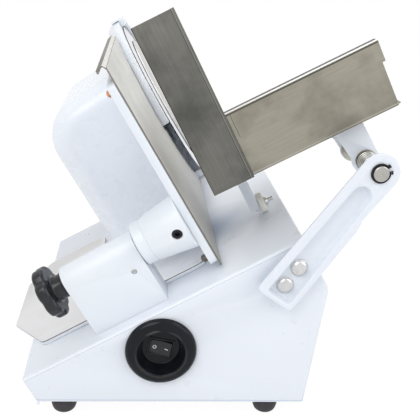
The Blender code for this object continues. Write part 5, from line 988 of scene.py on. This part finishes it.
def make_knob():
    """A neck and a wide grip with seven lobes and rounded edges."""
    place = HEAD @ Matrix.Translation((-0.1363, *ROD_LINE)) @ TURNS["X"]
    rings = []
    lobes, grip, edge = 7, 0.0258, 0.0034
    count = lobes * 24

    def ring(lobed, radius, height):
        points = []
        for step in range(count):
            angle = math.tau * step / count
            dip = ((1.0 - math.cos(lobes * angle)) / 2.0) ** 2.2
            reach = radius * (1.0 - 0.10 * dip * lobed)
            turn = angle + math.pi / 2.0
            points.append((reach * math.cos(turn), reach * math.sin(turn), height))
        rings.append(points)

    for lobed, radius, height in (
            (0.0, 0.0, 0.0), (0.0, 0.0126, 0.0), (0.0, 0.0130, -0.0004), (0.0, 0.0130, -0.0020),
            (0.0, 0.0127, -0.0024), (0.0, 0.0120, -0.0027), (0.0, 0.0119, -0.0100), (0.0, 0.0121, -0.0113),
            (0.1, 0.0130, -0.0121), (0.4, 0.0160, -0.0124), (0.8, 0.0200, -0.0123)):
        ring(lobed, radius, height)
    quarter = [math.radians(90.0 * step / 8) for step in range(9)]
    for angle in quarter:
        ring(1.0, grip - edge * (1.0 - math.sin(angle)), -0.0123 - edge * (1.0 - math.cos(angle)))
    for angle in quarter:
        ring(1.0, grip - edge * (1.0 - math.cos(angle)), -0.0240 + edge * (1.0 - math.sin(angle)))
    for lobed, radius, height in (
            (0.6, 0.0190, -0.0240), (0.0, 0.0145, -0.0239), (0.0, 0.0134, -0.0236), (0.0, 0.0131, -0.0230),
            (0.0, 0.0060, -0.0230), (0.0, 0.0, -0.0230)):
        ring(lobed, radius, height)
    replace("thickness_knob", skin("thickness_knob", rings, place, angle=50.0))


make_knob()


# Blade, cover and bolt

blade_line = HEAD @ Matrix.Translation((0.0, *BLADE_LINE)) @ TURNS["X"]
blade = [(0.0088, 0.0063), (0.0620, 0.0063), (0.0840, 0.0103), (0.0900, 0.0103), (0.1000, 0.0090),
         (0.1000, 0.0087), (0.0840, 0.0078), (0.0620, 0.0038), (0.0088, 0.0038)]
replace("blade", turned("blade", blade, blade_line, closed=True, steps=192, soft=0.0001, angle=5.0))
cover = [(0.0033, 0.0148), (0.0740, 0.0148), (0.0810, 0.0120), (0.0810, 0.0106), (0.0796, 0.0106),
         (0.0733, 0.0134), (0.0033, 0.0134)]
cover_mesh = turned("blade_cover", cover, blade_line, closed=True, steps=160, soft=0.0010, angle=40.0)
replace("blade_cover", cover_mesh)
bolt = [(0.0, 0.0177), (0.0078, 0.0177), (0.0085, 0.0171), (0.0085, 0.0151), (0.0030, 0.0151),
        (0.0030, -0.0009), (0.0, -0.0009)]
slotted("blade_bolt", bolt, blade_line, ((-0.0100, -0.0009, 0.0163), (0.0100, 0.0009, 0.0190)), 72)


# Roller and screws under the trough

roller_line = tilted((0.075533, -0.1094, 0.189051), CARRIAGE_TILT) @ TURNS["X"]
half_tyre = [(0.0043, 0.0035), (0.0070, 0.0035), (0.0076, 0.0029), (0.0086, 0.0029), (0.0092, 0.0034),
             (0.0100, 0.0032), (0.0107, 0.0022), (0.0110, 0.0008)]
tyre = half_tyre + [(radius, -height) for radius, height in reversed(half_tyre)]
replace("roller_bearing", turned("roller", tyre, roller_line, closed=True, steps=80, soft=0.0003))
pin = [(0.0, 0.0128), (0.0017, 0.0128), (0.0021, 0.0124), (0.0021, 0.0066), (0.0040, 0.0064),
       (0.0044, 0.0058), (0.0044, 0.0048), (0.0060, 0.0046), (0.0062, 0.0042), (0.0062, 0.0038),
       (0.0040, 0.0038), (0.0040, -0.0071), (0.0058, -0.0071), (0.0062, -0.0075), (0.0062, -0.0092),
       (0.0056, -0.0097), (0.0, -0.0097)]
replace("roller_pin", turned("roller_pin", pin, roller_line, steps=48, soft=0.0003))

for name in ("bracket_screw", "leg_screw"):
    local = CARRIAGE.inverted() @ centre_of(name)
    line = CARRIAGE @ Matrix.Translation((local.x, local.y, 0.0))
    profile = [(0.0, 0.0421), (0.0020, 0.0420), (0.0034, 0.0414), (0.0042, 0.0405), (0.0042, 0.0403),
               (0.0020, 0.0403), (0.0020, 0.0334), (0.0, 0.0334)]
    mesh = turned(name, profile, line, steps=48, soft=0.0004, angle=45.0)
    cross = [block((-0.0024, -0.0004, 0.0412), (0.0024, 0.0004, 0.0430), line),
             block((-0.0004, -0.0024, 0.0412), (0.0004, 0.0024, 0.0430), line)]
    replace(name, worked(mesh, cross, 0.0001, 1))


# Floor, light and camera

FLOOR_GLOW, FLOOR_SHARE = 1.05, 0.90
WORLD_LIGHT = 0.60
AIM = Vector((0.0, 0.0, 0.15))


def make_floor():
    """A pale floor that still takes the object's shadow and looks white to the camera."""
    mesh = bpy.data.meshes.new("floor")
    work = bmesh.new()
    bmesh.ops.create_grid(work, x_segments=1, y_segments=1, size=6.0)
    work.to_mesh(mesh)
    work.free()
    floor = bpy.data.objects.new("floor", mesh)
    bpy.context.collection.objects.link(floor)
    look = bpy.data.materials.new("pale_floor")
    look.use_nodes = True
    tree = look.node_tree
    surface = fill(tree.nodes["Principled BSDF"], Base_Color=(0.90, 0.90, 0.90, 1.0), Roughness=0.9)
    glow = add(tree, "Emission", Strength=FLOOR_GLOW)
    seen = add(tree, "LightPath").outputs
    either = add(tree, "Math", seen["Is Camera Ray"], seen["Is Glossy Ray"], operation="MAXIMUM")
    share = add(tree, "Math", either.outputs[0], FLOOR_SHARE, operation="MULTIPLY")
    blend = add(tree, "MixShader", share.outputs[0], surface.outputs[0], glow.outputs[0])
    fill(tree.nodes["Material Output"], blend.outputs[0])
    mesh.materials.append(look)


def make_world():
    """Soft light, brighter from above, with plain white for what is seen or reflected."""
    world = bpy.data.worlds.new("studio")
    bpy.context.scene.world = world
    world.use_nodes = True
    tree = world.node_tree
    place = add(tree, "TexCoord")
    split = add(tree, "SeparateXYZ", place.outputs["Generated"])
    lift = add(tree, "Math", split.outputs["Z"], 0.5, 0.5, operation="MULTIPLY_ADD")
    ramp = add(tree, "ValToRGB", lift.outputs[0])
    below, above = ramp.color_ramp.elements
    below.position, below.color = 0.30, (0.72, 0.74, 0.77, 1.0)
    above.position, above.color = 0.85, (1.0, 1.0, 1.0, 1.0)
    lit = fill(tree.nodes["Background"], Color=ramp.outputs["Color"], Strength=WORLD_LIGHT)
    plain = add(tree, "Background", Color=(1.0, 1.0, 1.0, 1.0))
    seen = add(tree, "LightPath").outputs
    either = add(tree, "Math", seen["Is Camera Ray"], seen["Is Glossy Ray"], operation="MAXIMUM")
    either = add(tree, "Math", either.outputs[0], seen["Is Transmission Ray"], operation="MAXIMUM")
    blend = add(tree, "MixShader", either.outputs[0], lit.outputs[0], plain.outputs[0])
    fill(tree.nodes["World Output"], blend.outputs[0])


def add_light(name, place, power, size):
    """A square area light that points at the object."""
    light = bpy.data.lights.new(name, "AREA")
    light.energy = power
    light.shape = "SQUARE"
    light.size = size
    item = bpy.data.objects.new(name, light)
    bpy.context.collection.objects.link(item)
    item.location = place
    item.rotation_euler = (AIM - Vector(place)).to_track_quat("-Z", "Y").to_euler()


def add_camera():
    camera = bpy.data.cameras.new("camera")
    camera.lens = LENS
    camera.sensor_width = 36.0
    item = bpy.data.objects.new("camera", camera)
    bpy.context.collection.objects.link(item)
    right = FORWARD.cross(UP).normalized()
    up = right.cross(FORWARD).normalized()
    turn = Matrix((right, up, -FORWARD)).transposed()
    item.matrix_world = Matrix.Translation(CAMERA_PLACE) @ turn.to_4x4()
    bpy.context.scene.camera = item


bpy.context.scene.view_settings.view_transform = "Standard"
make_floor()
make_world()
add_light("key", (-0.9, -1.4, 1.6), 17.0, 1.4)
add_light("fill", (1.5, -0.7, 1.2), 12.0, 1.6)
add_light("top", (0.1, 0.6, 1.9), 9.0, 1.6)
add_camera()
